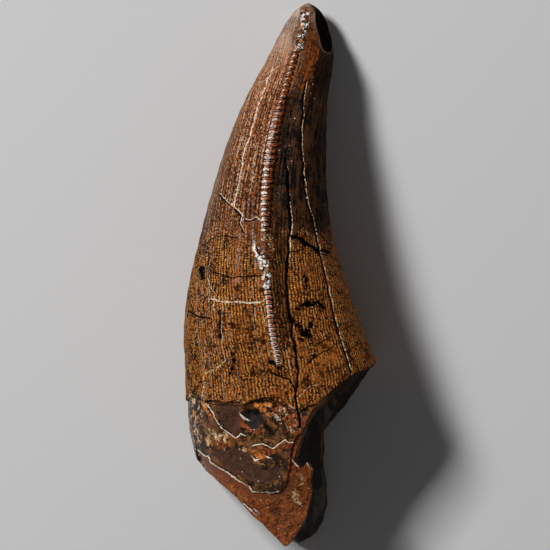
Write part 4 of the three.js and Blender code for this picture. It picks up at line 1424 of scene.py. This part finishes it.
# Painted shadow: a dark band on the root just below the enamel's raised edge.
colour = mix(colour, srgb(18, 12, 8), on_root * root_edge.below(0.08, 0.3) * 0.8)
colour = mix(colour, srgb(10, 9, 8), pitch_and_shadow * on_root * 0.85)
dots = inside("amber", (grit, 0.1), (dust, 0.1)) * on_root
colour = mix(colour, mix(srgb(168, 84, 34), srgb(238, 152, 74), speck.above(0.44, 0.56)), dots * 0.9)
rust = inside("rust", (grit, 0.16), (dust, 0.12))
colour = mix(colour, mix(srgb(104, 52, 28), srgb(190, 100, 50), speck.above(0.46, 0.58)), rust * 0.9)
cream = inside("cream", (fine_patch, 0.5), (grit, 0.3))
flaky = (fine_patch * 0.3 + speck * 0.7).above(0.44, 0.53)
cream_colour = mix(srgb(96, 62, 36), srgb(218, 172, 116), flaky)
cream_colour = mix(cream_colour, srgb(252, 234, 206), speck.above(0.54, 0.6))
colour = mix(colour, cream_colour, cream * 0.85)
nodes_so_far("the mineral on the root")

# %% [markdown]
# ### Cracks and the finish
#
# The cracks come last, over enamel and root alike. The pale mineral in them has partly fallen out,
# so their lines are broken. A painted shadow lies beside the pale lines on the root. Fine painted
# glints are scattered over everything: the centres of a few cells of a Voronoi pattern are pale and
# stand up a little. A clear coat gives the polish of the enamel.

# %% Cracks and glints
gaps = noise(space, (0.42,) * 3, 2.0, 12.5)
pale = abs(attribute("pale_across")).below(0.5, 1.1) * attribute("pale_near") * gaps.above(0.4, 0.5)
colour = mix(colour, mix(srgb(176, 122, 72), srgb(250, 232, 200), dust.above(0.42, 0.56)), pale)
dark = abs(attribute("dark_across") + (dust - 0.5) * 1.2).below(0.7, 1.2) * attribute("dark_near")
colour = mix(colour, srgb(7, 5, 4), dark)
bare = (abs(attribute("bare_across") + (dust - 0.5) * 1.6) - 2.4 * gaps).below(-0.5, 0.1)
bare = bare * attribute("bare_near")
bare_and_glint_colour = mix(srgb(206, 140, 84), srgb(255, 246, 226), (dust + 0.06 * on_root).above(0.42, 0.54))
colour = mix(colour, bare_and_glint_colour, bare)
# Painted shadow: a dark band beside the pale ledge lines on the root.
ledge_shadow = attribute("bare_across").above(1.2, 1.8) * attribute("bare_across").below(3.0, 4.5)
colour = mix(colour, srgb(26, 14, 9), ledge_shadow * attribute("bare_near") * on_root * 0.7)
dot = Socket.node("ShaderNodeTexVoronoi", {}, {"Vector": space, "Scale": 1.0, "Randomness": 1.0})
glint = dot.below(0.06, 0.11) * (patch + 0.04 * on_root).above(0.52, 0.58)
colour = mix(colour, srgb(250, 240, 222), glint)
nodes_so_far("the cracks")

# %% Relief and polish
wet = pale_crest_and_glint * on_edge * 0.7 + shattered * 0.7 + on_root * 0.35 + 0.05
wet = wet * (1 - worn_flat) * (1 - 0.9 * shaded_furrow)
shine = (0.5 - 0.1 * slate) * (1 - 0.5 * on_edge) * (1 - 0.5 * shattered) * (1 - 0.35 * on_root)
enamel_relief = bead * woven * 0.07 + streak * 0.06 + beading * 0.07
enamel_relief = enamel_relief + hairline * (0.1 - 0.06 * lower_crown)
root_relief = fine_patch * 0.1 + grit * 0.05 + crumbled * crumb * 0.1
root_relief = root_relief + lobe_edge.above(0, 0.1) * grit * 0.1
relief = (
    enamel_relief * (1 - on_root) * (1 - on_edge) * (1 - 0.6 * slate)
    + root_relief * on_root * (1 - 0.7 * violet)
    + patch * 0.06 + grit * 0.02 + dust * 0.01 + shattered * crumb * 0.12
    - dark * 0.09 - pale * 0.02 + glint * 0.05 - squiggle * 0.04
)
end_paint(finishes[SKIN], colour, shine, relief, wet)

# %% [markdown]
# ### Split dentine and the pulp wall
#
# The broken wall shows dull, fibrous dentine, and the pulp wall is grey. The far end of the break
# is painted darker, as painted shade. Both are plainer than the skin, and two or three noises are
# enough for each.

# %% Split dentine
space = start_paint(finishes[BREAK])
patch = noise(space, (1.6,) * 3, 4.0, 2.2)
grit = noise(space, (0.35,) * 3, 3.0, 6.6)
fibre = noise(space, (0.5, 0.5, 0.12), 3.0, 8.1)
colour = mix(srgb(84, 60, 44), srgb(146, 102, 66), patch.above(0.42, 0.6))
colour = mix(colour, srgb(184, 112, 62), grit.above(0.58, 0.7) * 0.4)
colour = mix(colour, srgb(34, 27, 22), (grit * 0.5 + fibre * 0.5).below(0.38, 0.5) * 0.8)
# Painted shade: the break is painted darker towards its far right end.
painted_far_shade = (space.part("X") - float(SHIFT[0]) + patch).above(5.2, 7.6)
colour = mix(colour, srgb(26, 20, 15), painted_far_shade * 0.85)
relief = patch * 0.12 + grit * 0.06 + fibre * 0.03
end_paint(finishes[BREAK], colour, 0.42 + 0.3 * grit, relief, 0.15)

# %% Pulp wall
space = start_paint(finishes[PULP])
patch = noise(space, (2.4, 5, 2.4), 4.0, 4.8)
grit = noise(space, (0.5,) * 3, 3.0, 8.6)
colour = mix(srgb(84, 81, 78), srgb(150, 142, 130), patch.above(0.45, 0.62))
colour = mix(colour, srgb(74, 54, 38), grit.above(0.6, 0.72) * 0.5)
end_paint(finishes[PULP], colour, 0.3 + 0.3 * grit, patch * 0.15 + grit * 0.04, 0.25)

# %% [markdown]
# ## The stage
#
# The tooth lies on a plain floor. A small key light from the upper left makes short, clear
# highlights, and a large weak one fills the shadows. A wider lens from nearby would swell the
# raised middle of the tooth, so the camera has a very long lens and stands far above it.

# %% Stage: floor, light and camera
bpy.ops.object.select_all(action="DESELECT")
bpy.ops.mesh.primitive_plane_add(size=4, location=(0, 0, cad_low.z))
floor = bpy.context.object
floor.name = "floor"

camera = bpy.data.objects.new("camera", bpy.data.cameras.new("camera"))
bpy.context.scene.collection.objects.link(camera)
camera.data.lens = 1500
FRAME_WIDTH = 71.5 # millimetres that the picture takes in
FRAME_MIDDLE = np.array([-0.715, -0.13, 11.0])
distance = FRAME_WIDTH / camera.data.sensor_width * camera.data.lens
camera.location = (FRAME_MIDDLE + SHIFT + np.array([0, 0, distance])) / 1000
camera.data.clip_start, camera.data.clip_end = 0.05, 10
bpy.context.scene.camera = camera
print("the camera stands", round(float(distance) / 1000, 2), "m above the tooth")


def area_light(name, place, size, energy, colour=(1, 1, 1)):
    light = bpy.data.objects.new(name, bpy.data.lights.new(name, "AREA"))
    bpy.context.scene.collection.objects.link(light)
    light.data.size, light.data.energy, light.data.color = size, energy, colour
    light.location = place
    toward = np.array([0, 0, 0.01]) - np.array(place)
    light.rotation_mode = "QUATERNION"
    light.rotation_quaternion = Vector(toward).to_track_quat("-Z", "Y")


area_light("key", (-0.42, 0.36, 0.6), 0.16, 5.2)
area_light("fill", (0.1, -0.4, 0.7), 0.6, 0.2)
world = bpy.data.worlds.new("studio")
bpy.context.scene.world = world
world.use_nodes = True
world.node_tree.nodes["Background"].inputs["Color"].default_value = (1, 1, 1, 1)
world.node_tree.nodes["Background"].inputs["Strength"].default_value = 0.04
bpy.context.scene.view_settings.view_transform = "Standard"

# %% Sizes, and the end
print("cad", [round(1000 * v, 2) for v in (*cad_low, *cad_high)])
